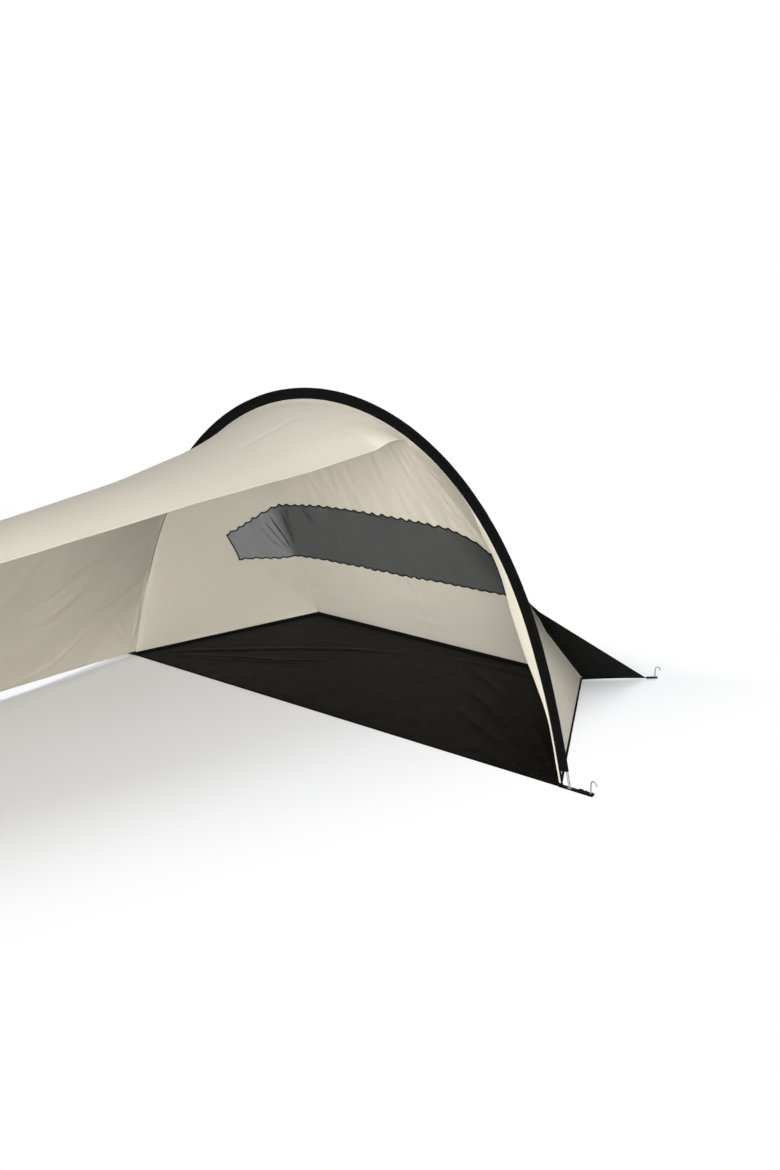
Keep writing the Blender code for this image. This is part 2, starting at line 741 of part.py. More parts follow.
def make_corner(name, side):
    """Strap from the groundsheet's corner, under the pole's foot and out to a peg."""
    foot_x = abs(hoop(arc_at_share(side * share_at_height(BALL_HEIGHT, 0.0))).x)
    start = CORNER_X + HEM_THICK / 2 - 2 * GAP
    end = HALF_SPAN + STRAP_REACH
    fold = foot_x + EYELET_FLANGE + STRAP_SINGLE
    step = STRAP_THICK * 1.5
    stations = []
    for x, width, thickness in ((start, 1.0, STRAP_THICK), (fold, 1.0, STRAP_THICK),
                                (fold + step, 1.0, STRAP_DOUBLED), (end - step, 1.0, STRAP_DOUBLED),
                                (end, 0.7, STRAP_THICK)):
        stations.append((Vector((side * x, 0, STRAP_LIFT)), STRAP_WIDTH * width, thickness))
    strap = ribbon(f"corner_strap_{name}", stations, Vector((0, 1, 0)), webbing("corner_strap"))
    drill(strap, (side * foot_x, 0, STRAP_LIFT), EYELET_BARREL + GAP)
    peg_x = end - PEG_FROM_END
    drill(strap, (side * peg_x, 0, STRAP_LIFT), PEG_RADIUS + PEG_PLAY)
    low = STRAP_LIFT - GAP - FLANGE_THICK
    profile = [(EYELET_BORE, low), (EYELET_FLANGE, low), (EYELET_FLANGE, STRAP_LIFT - GAP),
               (EYELET_BARREL, STRAP_LIFT - GAP), (EYELET_BARREL, STRAP_TOP + GAP),
               (EYELET_FLANGE, STRAP_TOP + GAP), (EYELET_FLANGE, EYELET_TOP), (EYELET_BORE, EYELET_TOP)]
    turned(f"foot_eyelet_{name}", profile, (side * foot_x, 0, 0), silver("eyelet"), ring=True)
    make_peg(f"corner_peg_{name}", Vector((side * peg_x, 0, 0)), Vector((side, 0, 0)))
    low_arc = arc_at_share(side * share_at_height(STRAP_TOP + GAP * 2, SEAM_INSET))
    high_arc = arc_at_share(side * SLEEVE_END_SHARE) + side * GAP
    outline = ((-SEAM_INSET + RISER_WIDTH, -WEB_HALF), (-SEAM_INSET + RISER_WIDTH, WEB_HALF),
               (-SEAM_INSET, WEB_HALF), (-SEAM_INSET, -WEB_HALF))
    rings = [hoop_ring(arc, outline) for arc in (low_arc, high_arc)]
    add_object(f"sleeve_riser_{name}", loft(rings), webbing("riser"), smooth=False)


# Webbing tabs and pegs

def tab_hole(tip, outwards):
    """Centre of a tab's peg hole, on the ground."""
    centre = tip + outwards * (GAP + TAB_LENGTH - PEG_FROM_END)
    return Vector((centre.x, centre.y, 0))


def make_tab(name, tip, outwards):
    """A short webbing loop from a panel's corner down to its peg."""
    across = Vector((-outwards.y, outwards.x, 0))
    stations = []
    for part, width in ((0, 0.6), (0.25, 1.0), (0.9, 1.0), (1.0, 0.7)):
        base = tip + outwards * (GAP * 2 + TAB_LENGTH * part)
        base.z = tip.z + (TAB_END_HEIGHT - tip.z) * math.sin(part * math.pi / 2)
        stations.append((base, TAB_WIDTH * width, TAB_THICK))
    tab = ribbon(name, stations, across, webbing("tab"))
    drill(tab, tab_hole(tip, outwards), PEG_RADIUS + PEG_PLAY)


def make_peg(name, place, outwards):
    """A bent wire peg: its point is in the ground, its hook stands over the webbing."""
    points = [Vector((0, 0, -PEG_DEPTH)), Vector((0, 0, -PEG_DEPTH + PEG_POINT))]
    points += [Vector((0, 0, height)) for height in (-PEG_DEPTH / 2, 0.0, PEG_STEM * 0.6)]
    turns = 8
    for i in range(turns + 1):
        angle = PEG_HOOK_TURN * i / turns
        out = PEG_HOOK_RADIUS * (1 - math.cos(angle))
        points.append(outwards * out + Vector((0, 0, PEG_STEM + PEG_HOOK_RADIUS * math.sin(angle))))
    tail = (points[-1] - points[-2]).normalized() * PEG_HOOK_TAIL
    points.append(points[-1] + tail)
    radii = [PEG_RADIUS * 0.25] + [PEG_RADIUS] * (len(points) - 1)
    rod_along(name, [place + p for p in points], radii, silver("peg"), origin=tuple(place))


# Awning

AWNING_COLUMNS = 22
AWNING_ROWS = 26


def heading(angle):
    return Vector((math.cos(angle), math.sin(angle), 0))


def awning_corner_upright():
    return Vector((UPRIGHT_X, -AWNING_REACH, AWNING_HEIGHT))


def awning_corner_peg():
    return Vector((PEG_CORNER_X, PEG_CORNER_Y, PEG_CORNER_HEIGHT))


def awning_points():
    """Rows run from the hoop to the outer edge; each row goes from the front edge to the hem."""
    foot_share = -share_at_height(AWNING_FOOT_HEIGHT, SEAM_INSET)
    span = foot_share - AWNING_TOP_SHARE
    hoop_row = [seam_line(AWNING_TOP_SHARE + span * j / AWNING_COLUMNS, -PANEL_BACK)
                for j in range(AWNING_COLUMNS + 1)]
    steps = [0.0]
    for before, after in zip(hoop_row, hoop_row[1:]):
        steps.append(steps[-1] + (after - before).length)
    chord = [hoop_row[0].lerp(hoop_row[-1], step / steps[-1]) for step in steps]
    outer_row = [awning_corner_upright().lerp(awning_corner_peg(), (j / AWNING_COLUMNS) ** 2)
                 for j in range(AWNING_COLUMNS + 1)]
    rows = []
    for i in range(AWNING_ROWS + 1):
        reach = i / AWNING_ROWS
        hollow = ROOF_HOLLOW * reach * (1 - reach) ** 2
        bulge = 4 * reach * (1 - reach)
        row = []
        for j in range(AWNING_COLUMNS + 1):
            down = j / AWNING_COLUMNS
            point = hoop_row[j].lerp(outer_row[j], reach)
            point += (chord[j] - hoop_row[j]) * hollow
            front = (1 - down) ** 3
            point.z -= FRONT_EDGE_SAG * front * bulge
            point.x -= FRONT_EDGE_BOW * front * bulge
            point.z += HEM_RISE * down ** 6 * bulge
            point.z += ROOF_LIFT * bulge * 4 * down * (1 - down)
            row.append(point)
        rows.append(row)
    return rows


def edge_binding(name, edge, inner, mat):
    """A folded tape along one edge of the awning; inner is the next line of its grid."""
    rings = []
    count = len(edge)
    for i in range(count):
        along = (edge[min(i + 1, count - 1)] - edge[max(i - 1, 0)]).normalized()
        out = edge[i] - inner[i]
        out = (out - along * out.dot(along)).normalized()
        normal = along.cross(out).normalized() * (BIND_THICK / 2)
        near = edge[i] + out * GAP
        far = edge[i] + out * (GAP + BIND_WIDTH)
        rings.append([near - normal, far - normal, far + normal, near + normal])
    add_object(name, loft(rings), mat)


def make_awning():
    rows = awning_points()
    cloth("awning", rows, sand_cloth("awning"))
    columns = list(zip(*rows))
    tape = sand_cloth("awning_binding")
    edge_binding("awning_front_binding", columns[0][1:-1], columns[1][1:-1], tape)
    edge_binding("awning_side_binding", columns[-1][1:-1], columns[-2][1:-1], tape)
    edge_binding("awning_end_binding", rows[-1][1:-1], rows[-2][1:-1], tape)
    corner = awning_corner_peg()
    outwards = heading(PEG_HEADING)
    make_tab("awning_peg_loop", corner, outwards)
    make_peg("awning_peg", tab_hole(corner, outwards), outwards)


def upright_axis():
    outwards = heading(UPRIGHT_HEADING)
    return awning_corner_upright() + outwards * UPRIGHT_TAB, outwards


def make_upright():
    """Corner tab with its grommet, and the two-part pole that stands under it."""
    centre, outwards = upright_axis()
    across = Vector((-outwards.y, outwards.x, 0))
    low = centre.z - STRAP_THICK / 2
    base = awning_corner_upright()
    stations = []
    for reach, width in ((CLOTH, 0.6), (UPRIGHT_TAB / 2, 1.0), (UPRIGHT_TAB + GROMMET_BARREL, 1.0),
                         (UPRIGHT_TAB + UPRIGHT_TAB_WIDTH / 2, 0.66)):
        place = base + outwards * reach
        place.z = low
        stations.append((place, UPRIGHT_TAB_WIDTH * width, STRAP_THICK))
    tab = ribbon("awning_corner_tab", stations, across, webbing("corner_tab"))
    drill(tab, centre, GROMMET_BARREL + GAP)

    bore = PIN_RADIUS / math.cos(PIN_SWING) + math.tan(PIN_SWING) * (STRAP_THICK / 2 + FLANGE_THICK + GAP)
    bore += GAP
    edge = STRAP_THICK / 2 + GAP
    rim = edge + FLANGE_THICK
    profile = [(bore, -rim), (GROMMET_FLANGE, -rim), (GROMMET_FLANGE, -edge), (GROMMET_BARREL, -edge),
               (GROMMET_BARREL, edge), (GROMMET_FLANGE, edge), (GROMMET_FLANGE, rim), (bore, rim)]
    turned("awning_grommet", profile, centre, silver("grommet"), ring=True)

    def shoulder(radius):
        """Lowest height that clears the grommet at the end of the swing."""
        return (-rim - GAP - radius * math.sin(PIN_SWING)) / math.cos(PIN_SWING)

    tube_top = shoulder(UPPER_RADIUS) - TIP_SHOULDER
    upper_bore = UPPER_RADIUS - TUBE_WALL
    plug = upper_bore - TUBE_PLAY
    profile = [(0, PIN_RISE), (PIN_RADIUS * 0.6, PIN_RISE), (PIN_RADIUS, PIN_RISE - 0.002),
               (PIN_RADIUS, shoulder(PIN_RADIUS)), (UPPER_RADIUS, shoulder(UPPER_RADIUS)),
               (UPPER_RADIUS, tube_top + GAP), (plug, tube_top + GAP), (plug, tube_top - PLUG_LENGTH),
               (0, tube_top - PLUG_LENGTH)]
    turned("upright_tip", profile, centre, silver("upright_tip"), origin=tuple(centre))

    upper_low = LOWER_TOP - UPRIGHT_OVERLAP - centre.z
    profile = [(upper_bore, upper_low), (UPPER_RADIUS, upper_low), (UPPER_RADIUS, tube_top),
               (upper_bore, tube_top)]
    turned("upright_upper_tube", profile, centre, silver("upright_tube"), ring=True,
           origin=tuple(centre))

    foot = Vector((centre.x, centre.y, 0))
    lower_bore = UPPER_RADIUS + TUBE_PLAY
    lower_radius = max(LOWER_RADIUS, lower_bore + TUBE_WALL * 0.5)
    profile = [(lower_bore, FOOT_FLOOR + GAP), (lower_radius, FOOT_FLOOR + GAP),
               (lower_radius, LOWER_TOP), (lower_bore, LOWER_TOP)]
    turned("upright_lower_tube", profile, foot, silver("upright_tube"), ring=True, origin=tuple(foot))

    cup = lower_radius + GAP
    profile = [(0, 0), (cup + FOOT_WALL, 0), (cup + FOOT_WALL * 0.7, FOOT_HEIGHT), (cup, FOOT_HEIGHT),
               (cup, FOOT_FLOOR), (0, FOOT_FLOOR)]
    turned("upright_foot", profile, foot, material("upright_foot", (0.015, 0.015, 0.015), 0.6),
           origin=tuple(foot))

    top = LOWER_TOP + COLLAR_WALL + GAP
    low = top - COLLAR_HEIGHT
    outer = cup + COLLAR_WALL
    profile = [(cup, low), (outer - 0.001, low), (outer, low + 0.002), (outer, top - 0.004),
               (outer - 0.003, top), (lower_bore, top), (lower_bore, LOWER_TOP + GAP),
               (cup, LOWER_TOP + GAP)]
    turned("upright_lock_collar", profile, foot, material("lock_collar", (0.02, 0.02, 0.02), 0.5),
           ring=True, origin=tuple(foot))


def main():
    clear_scene()
    make_pole()
    make_sleeve()
    make_rear_shell()
    make_facing()
    make_fins()
    make_groundsheet()
    make_hems()
    make_corner("left", -1)
    make_corner("right", 1)
    make_awning()
    make_upright()


main()
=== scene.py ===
"""The looks of a hooped sunshade: wrinkled cloth, netting, webbing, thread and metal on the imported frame."""

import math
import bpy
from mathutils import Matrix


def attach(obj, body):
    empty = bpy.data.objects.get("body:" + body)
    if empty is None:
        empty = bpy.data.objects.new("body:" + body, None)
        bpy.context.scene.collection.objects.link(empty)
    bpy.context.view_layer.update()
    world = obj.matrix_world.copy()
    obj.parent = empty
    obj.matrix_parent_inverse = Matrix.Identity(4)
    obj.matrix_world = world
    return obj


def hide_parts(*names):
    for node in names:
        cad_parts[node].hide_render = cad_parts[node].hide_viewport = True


bl_info = {
    "name": "Hooped sunshade",
    "version": (1, 0, 0),
    "blender": (4, 5, 0),
    "location": "View3D > Sidebar > Sunshade",
    "description": "Cloth, netting, webbing and metal of a beach sunshade with one hoop and an awning",
    "category": "Object",
}

import bmesh
import bpy
import numpy as np
from bpy.props import FloatProperty, FloatVectorProperty, PointerProperty

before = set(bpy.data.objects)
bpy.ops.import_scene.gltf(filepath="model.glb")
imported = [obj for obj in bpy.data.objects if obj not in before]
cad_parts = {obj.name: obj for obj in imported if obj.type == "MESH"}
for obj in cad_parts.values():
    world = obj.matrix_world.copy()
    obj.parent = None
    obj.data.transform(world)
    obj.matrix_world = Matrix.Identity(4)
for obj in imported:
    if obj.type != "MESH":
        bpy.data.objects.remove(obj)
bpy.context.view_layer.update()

BODY = "shelter"               # the CAD body that everything but the pegs and the upright rides on
GAP = 0.0003                   # left between pieces that touch
PANEL_GAP = 0.0013             # left between a seam or hem and the panel sewn to it
PANEL_BACK = 0.00115           # how far behind the hoop's plane the shell is sewn, and the awning before it


# Sizes and colours that a user would change

class SunshadeSizes(bpy.types.PropertyGroup):
    pole_span: FloatProperty(name="Pole span", description="Between the centres of the hoop's feet",
                             default=2.400, unit="LENGTH")
    foot_slope: FloatProperty(name="Foot slope", description="The bent pole's slope at the ground",
                              default=math.radians(76), subtype="ANGLE")
    hoop_lean: FloatProperty(name="Hoop lean", description="Towards the rear wall",
                             default=math.radians(1.7), subtype="ANGLE")
    seam_inset: FloatProperty(name="Seam inset", description="From the pole's centre to the sleeve's seam",
                              default=0.038, unit="LENGTH")
    sleeve_end: FloatProperty(name="Sleeve end", description="Height below which the pole is bare",
                              default=0.070, unit="LENGTH")
    corner_inset: FloatProperty(name="Corner inset",
                                description="From a pole foot to the groundsheet's corner",
                                default=0.042, unit="LENGTH")
    ground_depth: FloatProperty(name="Ground depth", description="From the hoop to the rear wall",
                                default=0.967, unit="LENGTH")
    rear_width: FloatProperty(name="Rear width", description="Between the rear corners",
                              default=1.552, unit="LENGTH")
    hem_height: FloatProperty(name="Hem height", description="Of the black tape round the groundsheet",
                              default=0.014, unit="LENGTH")
    cloth: FloatProperty(name="Cloth", description="Thickness of a sewn panel", default=0.0014, unit="LENGTH")
    net: FloatProperty(name="Net", description="Thickness of the window's netting",
                       default=0.0008, unit="LENGTH")
    awning_reach: FloatProperty(name="Awning reach", description="From the hoop to the upright",
                                default=3.000, unit="LENGTH")
    awning_height: FloatProperty(name="Awning height", description="Of its corner on the upright",
                                 default=1.050, unit="LENGTH")


class SunshadeColours(bpy.types.PropertyGroup):
    sand: FloatVectorProperty(name="Sand cloth", description="Shell, awning and facing",
                              subtype="COLOR", default=(0.612, 0.571, 0.481))
    black: FloatVectorProperty(name="Black cloth", description="Sleeve and fins",
                               subtype="COLOR", default=(0.0036, 0.0036, 0.0035))
    sheet: FloatVectorProperty(name="Groundsheet", description="Coated black cloth underfoot",
                               subtype="COLOR", default=(0.0042, 0.0041, 0.0034))
    webbing: FloatVectorProperty(name="Webbing", description="Straps, tapes and loops",
                                 subtype="COLOR", default=(0.005, 0.005, 0.005))
    net: FloatVectorProperty(name="Netting", description="Window net",
                             subtype="COLOR", default=(0.028, 0.028, 0.027))
    metal: FloatVectorProperty(name="Metal", description="Poles, pegs and eyelets",
                               subtype="COLOR", default=(0.30, 0.30, 0.31))


class SunshadeStage(bpy.types.PropertyGroup):
    sky: FloatProperty(name="Sky", description="Strength of the even light from all round", default=0.07)
    front: FloatProperty(name="Front light", description="Low soft light from the front right", default=3.70)
    side: FloatProperty(name="Side light", description="Weak low light from the right", default=0.60)
    high: FloatProperty(name="High light",
                        description="Soft light from above, which puts the awning's shade down", default=1.10)
    back: FloatProperty(name="Back light", description="Soft light from behind the shell", default=1.40)
    lens: FloatProperty(name="Lens", description="Focal length for a frame 36 mm high", default=35.015)


def sizes():
    return bpy.context.scene.sunshade_sizes


def colours():
    return bpy.context.scene.sunshade_colours


# Shader maths as expressions

class Term:
    """A socket in a node tree; adding or multiplying terms adds the nodes."""

    def __init__(self, nodes, socket):
        self.nodes = nodes
        self.socket = socket

    def maths(self, operation, *values):
        return self.nodes.add("ShaderNodeMath", {"operation": operation}, *values)

    def __add__(self, other):
        return self.maths("ADD", self, other)

    def __radd__(self, other):
        return self.maths("ADD", other, self)

    def __sub__(self, other):
        return self.maths("SUBTRACT", self, other)

    def __rsub__(self, other):
        return self.maths("SUBTRACT", other, self)

    def __mul__(self, other):
        return self.maths("MULTIPLY", self, other)

    def __rmul__(self, other):
        return self.maths("MULTIPLY", other, self)

    def __pow__(self, other):
        return self.maths("POWER", self, other)

    def sine(self):
        return self.maths("SINE", self)

    def size(self):
        return self.maths("ABSOLUTE", self)

    def most(self, other):
        return self.maths("MAXIMUM", self, other)


class Nodes:
    """A node tree in the making, with one method that adds any node."""

    def __init__(self, tree):
        self.tree = tree

    def put(self, socket, value):
        if isinstance(value, Term):
            self.tree.links.new(value.socket, socket)
        else:
            socket.default_value = value

    def add(self, kind, settings=None, *values, first=0, output=0, **named):
        """Values fill the sockets in order from the first one, named values the sockets of those names."""
        node = self.tree.nodes.new(kind)
        for key, value in (settings or {}).items():
            setattr(node, key, value)
        for index, value in enumerate(values, first):
            self.put(node.inputs[index], value)
        for key, value in named.items():
            self.put(node.inputs[key.replace("_", " ")], value)
        return Term(self, node.outputs[output])

    def uv(self):
        return self.add("ShaderNodeTexCoord", output="UV")

    def place(self):
        return self.add("ShaderNodeTexCoord", output="Object")

    def split(self, vector):
        x = self.add("ShaderNodeSeparateXYZ", None, vector)
        return [Term(self, output) for output in x.socket.node.outputs]

    def stretched(self, vector, scale):
        return self.add("ShaderNodeMapping", None, Vector=vector, Scale=scale)

    def noise(self, vector, scale, detail=2.0, rough=0.5):
        return self.add("ShaderNodeTexNoise", {"noise_dimensions": "3D"}, Vector=vector, Scale=scale,
                        Detail=detail, Roughness=rough)

    def blend(self, factor, dark, light):
        """Two colours mixed; the Mix node's colour sockets are its seventh and eighth."""
        return self.add("ShaderNodeMix", {"data_type": "RGBA"}, (*dark, 1.0), (*light, 1.0),
                        first=6, output=2, Factor=factor)

    def fade(self, value, start, end):
        return self.add("ShaderNodeMapRange", {"interpolation_type": "SMOOTHSTEP"}, Value=value,
                        From_Min=start, From_Max=end)

    def bump(self, height, strength, distance, under=None):
        values = {"Strength": strength, "Distance": distance, "Height": height}
        if under is not None:
            values["Normal"] = under
        return self.add("ShaderNodeBump", None, **values)

    def seen(self):
        """1 for what the camera sees, also by way of metal or glass, and 0 for light on its way."""
        camera, glossy, through = [self.add("ShaderNodeLightPath", output=f"Is {ray} Ray")
                                   for ray in ("Camera", "Glossy", "Transmission")]
        return camera.most(glossy).most(through)


class Finish(Nodes):
    """A material in the making: its node tree and its shader."""

    def __init__(self, name, colour, roughness, metallic=0.0, gloss=0.5):
        self.material = bpy.data.materials.new(name)
        self.material.use_nodes = True
        super().__init__(self.material.node_tree)
        self.shader = self.tree.nodes["Principled BSDF"]
        self.set("Base Color", (*colour, 1.0))
        self.set("Roughness", roughness)
        self.set("Metallic", metallic)
        self.set("Specular IOR Level", gloss)

    def set(self, name, value):
        self.put(self.shader.inputs[name], value)


THREAD_HEIGHT = 0.0003         # how far a thread stands out of its cloth
CREASE_HEIGHT = 0.004          # and a small crease
RIPSTOP_SQUARE = 0.006
TAPE_CORD = 0.0016
NET_HOLE = 0.0024


def shades(colour, spread):
    """A darker and a lighter version of a colour."""
    return [c * (1 - spread) for c in colour], [min(1.0, c * (1 + spread)) for c in colour]


def woven(name, colour, roughness, thread, spread, creases, gloss=0.3):
    """Plain-woven cloth: thread relief, slubs along both threads, soft mottling and small creases."""
    finish = Finish(name, colour, roughness, gloss=gloss)
    uv = finish.uv()
    across, along, _ = finish.split(uv)
    turn = 2 * math.pi / thread
    long, short = 14.0, 900.0
    weave = (across * turn).sine() * (along * turn).sine()
    slub_across = finish.noise(finish.stretched(uv, (long, short, 1.0)), 1.0, 3.0)
    slub_along = finish.noise(finish.stretched(uv, (short, long, 1.0)), 1.0, 3.0)
    mottle = finish.noise(uv, 5.0, 4.0, 0.6)
    tone = slub_across * 0.30 + slub_along * 0.30 + mottle * 0.40
    dark, light = shades(colour, spread)
    finish.set("Base Color", finish.blend(tone, dark, light))
    finish.set("Roughness", (mottle - 0.5) * 0.10 + roughness)
    small = finish.noise(finish.stretched(uv, (1.0, 0.6, 1.0)), 26.0, 3.0, 0.55)
    relief = finish.bump(small, creases, CREASE_HEIGHT)
    threads = weave * 0.5 + slub_across * 0.8 + slub_along * 0.8
    finish.set("Normal", finish.bump(threads, 0.35, THREAD_HEIGHT, relief))
    return finish.material


def coated(name, colour, roughness):
    """Coated cloth: fine ripstop squares under a film that catches a dull light."""
    finish = Finish(name, colour, roughness, gloss=0.07)
    uv = finish.uv()
    across, along, _ = finish.split(uv)
    turn = math.pi / RIPSTOP_SQUARE
    ribs = ((across * turn).sine().size().most((along * turn).sine().size())) ** 24
    mottle = finish.noise(uv, 4.0, 5.0, 0.6)
    small = finish.noise(uv, 18.0, 4.0, 0.6)
    dark, light = shades(colour, 0.25)
    finish.set("Base Color", finish.blend(mottle, dark, light))
    finish.set("Roughness", (small - 0.5) * 0.16 + roughness)
    relief = finish.bump(small, 0.35, CREASE_HEIGHT)
    finish.set("Normal", finish.bump(ribs, 0.30, THREAD_HEIGHT, relief))
    return finish.material


def tape(name, colour, rib):
    """Woven webbing: ribs across the tape and rounded edges of thread."""
    finish = Finish(name, colour, 0.80, gloss=0.05)
    uv = finish.uv()
    across, along, _ = finish.split(uv)
    ribs = (along * (2 * math.pi / rib)).sine()
    cords = (across * (2 * math.pi / TAPE_CORD)).sine()
    grime = finish.noise(uv, 60.0, 3.0)
    dark, light = shades(colour, 0.30)
    finish.set("Base Color", finish.blend(grime * 0.6 + ribs * 0.12 + 0.2, dark, light))
    finish.set("Normal", finish.bump(ribs + cords * 0.4, 0.6, THREAD_HEIGHT))
    return finish.material


def netting(name, colour):
    """Fine knitted net: its holes let the daylight through, fewer of them where it is pleated; an attribute
    also makes it more see-through at its left end and darker towards its right end, where the darkening is
    painted shade.
    """
    finish = Finish(name, colour, 0.85, gloss=0.15)
    uv = finish.uv()
    across, along, _ = finish.split(uv)
    turn = math.pi / NET_HOLE
    holes = ((across * turn).sine() * (along * turn).sine()).size()
    weft = finish.noise(finish.stretched(uv, (28.0, 2.5, 1.0)), 1.0, 3.0, 0.6)
    open_part_and_shade = finish.add("ShaderNodeAttribute", {"attribute_name": "openness"}, output="Fac")
    finish.set("Base Color", finish.blend(weft, *shades(colour, 0.35)))
    # Less open means darker: towards the net's right end this is painted shade.
    finish.set("Alpha", 0.80 - holes * 0.10 - (weft - 0.5) * 0.05 - open_part_and_shade)
    finish.set("Normal", finish.bump(weft * 0.8 + holes * 0.1, 0.4, 0.002))
    return finish.material


def alloy(name, colour, roughness, grain=(3.0, 3.0, 0.05), metallic=1.0):
    """Drawn metal: fine lines, faint stains and a few dull spots."""
    finish = Finish(name, colour, roughness, metallic)
    place = finish.place()
    lines = finish.noise(finish.stretched(place, grain), 900.0, 2.0)
    stain = finish.noise(place, 30.0, 4.0, 0.6)
    finish.set("Base Color", finish.blend(stain, *shades(colour, 0.12)))
    finish.set("Roughness", (lines - 0.5) * 0.16 + (stain - 0.5) * 0.12 + roughness)
    finish.set("Normal", finish.bump(lines, 0.12, 0.0002))
    return finish.material


def moulded(name, colour):
    """Black moulded plastic with a fine spark texture."""
    finish = Finish(name, colour, 0.5)
    place = finish.place()
    grain = finish.noise(place, 1400.0, 2.0)
    finish.set("Base Color", finish.blend(finish.noise(place, 60.0, 3.0), *shades(colour, 0.2)))
    finish.set("Roughness", (grain - 0.5) * 0.2 + 0.5)
    finish.set("Normal", finish.bump(grain, 0.25, 0.0002))
    return finish.material


FINISHES = {}


def finish_of(name):
    """Each finish is made once, when the first piece asks for it."""
    if name not in FINISHES:
        c = colours()
        makers = {
            "sand": lambda: woven("sand_cloth", c.sand, 0.84, 0.0016, 0.055, 0.20),
            "tape_sand": lambda: woven("sand_tape", c.sand, 0.80, 0.0014, 0.07, 0.15),
            "thread_sand": lambda: woven("sand_thread", [v * 0.86 for v in c.sand], 0.7, 0.0005, 0.05, 0.1),
            "black": lambda: woven("black_cloth", c.black, 0.84, 0.0014, 0.22, 0.30, 0.04),
            "sheet": lambda: coated("groundsheet_cloth", c.sheet, 0.50),
            "webbing": lambda: tape("webbing", c.webbing, 0.0022),
            "net": lambda: netting("window_net", c.net),
            "metal": lambda: alloy("silver_alloy", c.metal, 0.42),
            "wire": lambda: alloy("plated_wire", c.metal, 0.48, (0.6, 0.6, 0.2), 0.55),
            "plastic": lambda: moulded("black_plastic", (0.016, 0.016, 0.016)),
        }
        FINISHES[name] = makers[name]()
    return FINISHES[name]


# The bent pole

HOOP_STEPS = 4000


class Hoop:
    """The curve of a straight rod bent over its span, measured by its length from the left foot."""

    def __init__(self):
        s = sizes()
        modulus = math.sin(s.foot_slope / 2)
        phi = np.linspace(-math.pi / 2, math.pi / 2, HOOP_STEPS + 1)
        bend = np.sqrt(1 - (modulus * np.sin(phi)) ** 2)
        arc = self.summed(1 / bend)
        x = self.summed((1 - 2 * (modulus * np.sin(phi)) ** 2) / bend)
        scale = s.pole_span / x[-1]
        self.arc = arc * scale
        self.x = x * scale - s.pole_span / 2
        self.z = 2 * modulus * np.cos(phi) * scale
        self.slope = -2 * np.arcsin(modulus * np.sin(phi))
        self.length = float(self.arc[-1])
        self.lean = s.hoop_lean

    def summed(self, rate):
        return np.concatenate([[0], np.cumsum((rate[1:] + rate[:-1]) / 2) * (math.pi / HOOP_STEPS)])

    def at(self, arc, inset=0.0, back=0.0):
        """Points this far along, set in from the pole and back from the hoop's plane."""
        x = np.interp(arc, self.arc, self.x)
        z = np.interp(arc, self.arc, self.z)
        slope = np.interp(arc, self.arc, self.slope)
        x = x + inset * np.sin(slope)
        z = z - inset * np.cos(slope)
        y = z * math.sin(self.lean) + back * math.cos(self.lean)
        return np.stack(np.broadcast_arrays(x, y, z * math.cos(self.lean) - back * math.sin(self.lean)), -1)

    def share(self, share, inset=0.0, back=0.0):
        """The same by share of the half hoop: -1 left foot, 0 crown, 1 right foot."""
        return self.at(self.length * (1 + np.asarray(share)) / 2, inset, back)

    def share_at(self, height, inset):
        """Share at which the right leg, set in this far, passes a height."""
        low, high = 0.5, 1.0
        for _ in range(50):
            middle = (low + high) / 2
            if self.share(middle, inset)[2] > height:
                low = middle
            else:
                high = middle
        return low


# Cloth from grids

def lattice(u, v, cell, seed):
    """Smooth seeded noise between -1 and 1 over a surface measured in metres."""
    table = np.random.default_rng(seed).uniform(-1, 1, (97, 89))
    shift = 500.0
    a, b = np.asarray(u) / cell + shift, np.asarray(v) / cell + shift
    i, j = np.floor(a).astype(int), np.floor(b).astype(int)
    a, b = a - i, b - j
    a, b = a * a * (3 - 2 * a), b * b * (3 - 2 * b)
    rows, columns = table.shape
    corner = table[i % rows, j % columns] * (1 - a) + table[(i + 1) % rows, j % columns] * a
    far = table[i % rows, (j + 1) % columns] * (1 - a) + table[(i + 1) % rows, (j + 1) % columns] * a
    return corner * (1 - b) + far * b


def rise(value, start, end):
    """0 at start, 1 at end, smooth between."""
    t = np.clip((np.asarray(value, float) - start) / (end - start), 0, 1)
    return t * t * (3 - 2 * t)


def crease(u, v, path, height, width):
    """A soft ridge along a path of (u, v) points that fades out at both ends."""
    best = np.full(np.shape(u), 1e9)
    along = np.zeros(np.shape(u))
    points = np.asarray(path, float)
    runs = np.linalg.norm(np.diff(points, axis=0), axis=1)
    total, done = runs.sum(), 0.0
    for (a, b), (c, d), run in zip(points, points[1:], runs):
        t = np.clip(((u - a) * (c - a) + (v - b) * (d - b)) / run ** 2, 0, 1)
        gap = np.hypot(u - a - t * (c - a), v - b - t * (d - b))
        nearer = gap < best
        best = np.where(nearer, gap, best)
        along = np.where(nearer, (done + t * run) / total, along)
        done += run
    fade = rise(along, 0, 0.25) * (1 - rise(along, 0.7, 1.0))
    return height * fade * np.exp(-(best / width) ** 2)


def creased(relief, u, v, creases):
    """The relief with a ridge added for each (path, height, width)."""
    for path, height, width in creases:
        relief = relief + crease(u, v, path, height, width)
    return relief


def path_lengths(points):
    """The distance run along a path at each of its points."""
    return np.concatenate([[0], np.cumsum(np.linalg.norm(np.diff(points, axis=0), axis=1))])


def normals(grid):
    """Unit normals of a grid of points; which side they point to depends on the grid."""
    down = np.gradient(grid, axis=0)
    across = np.gradient(grid, axis=1)
    n = np.cross(across, down)
    return n / np.maximum(np.linalg.norm(n, axis=-1, keepdims=True), 1e-12)


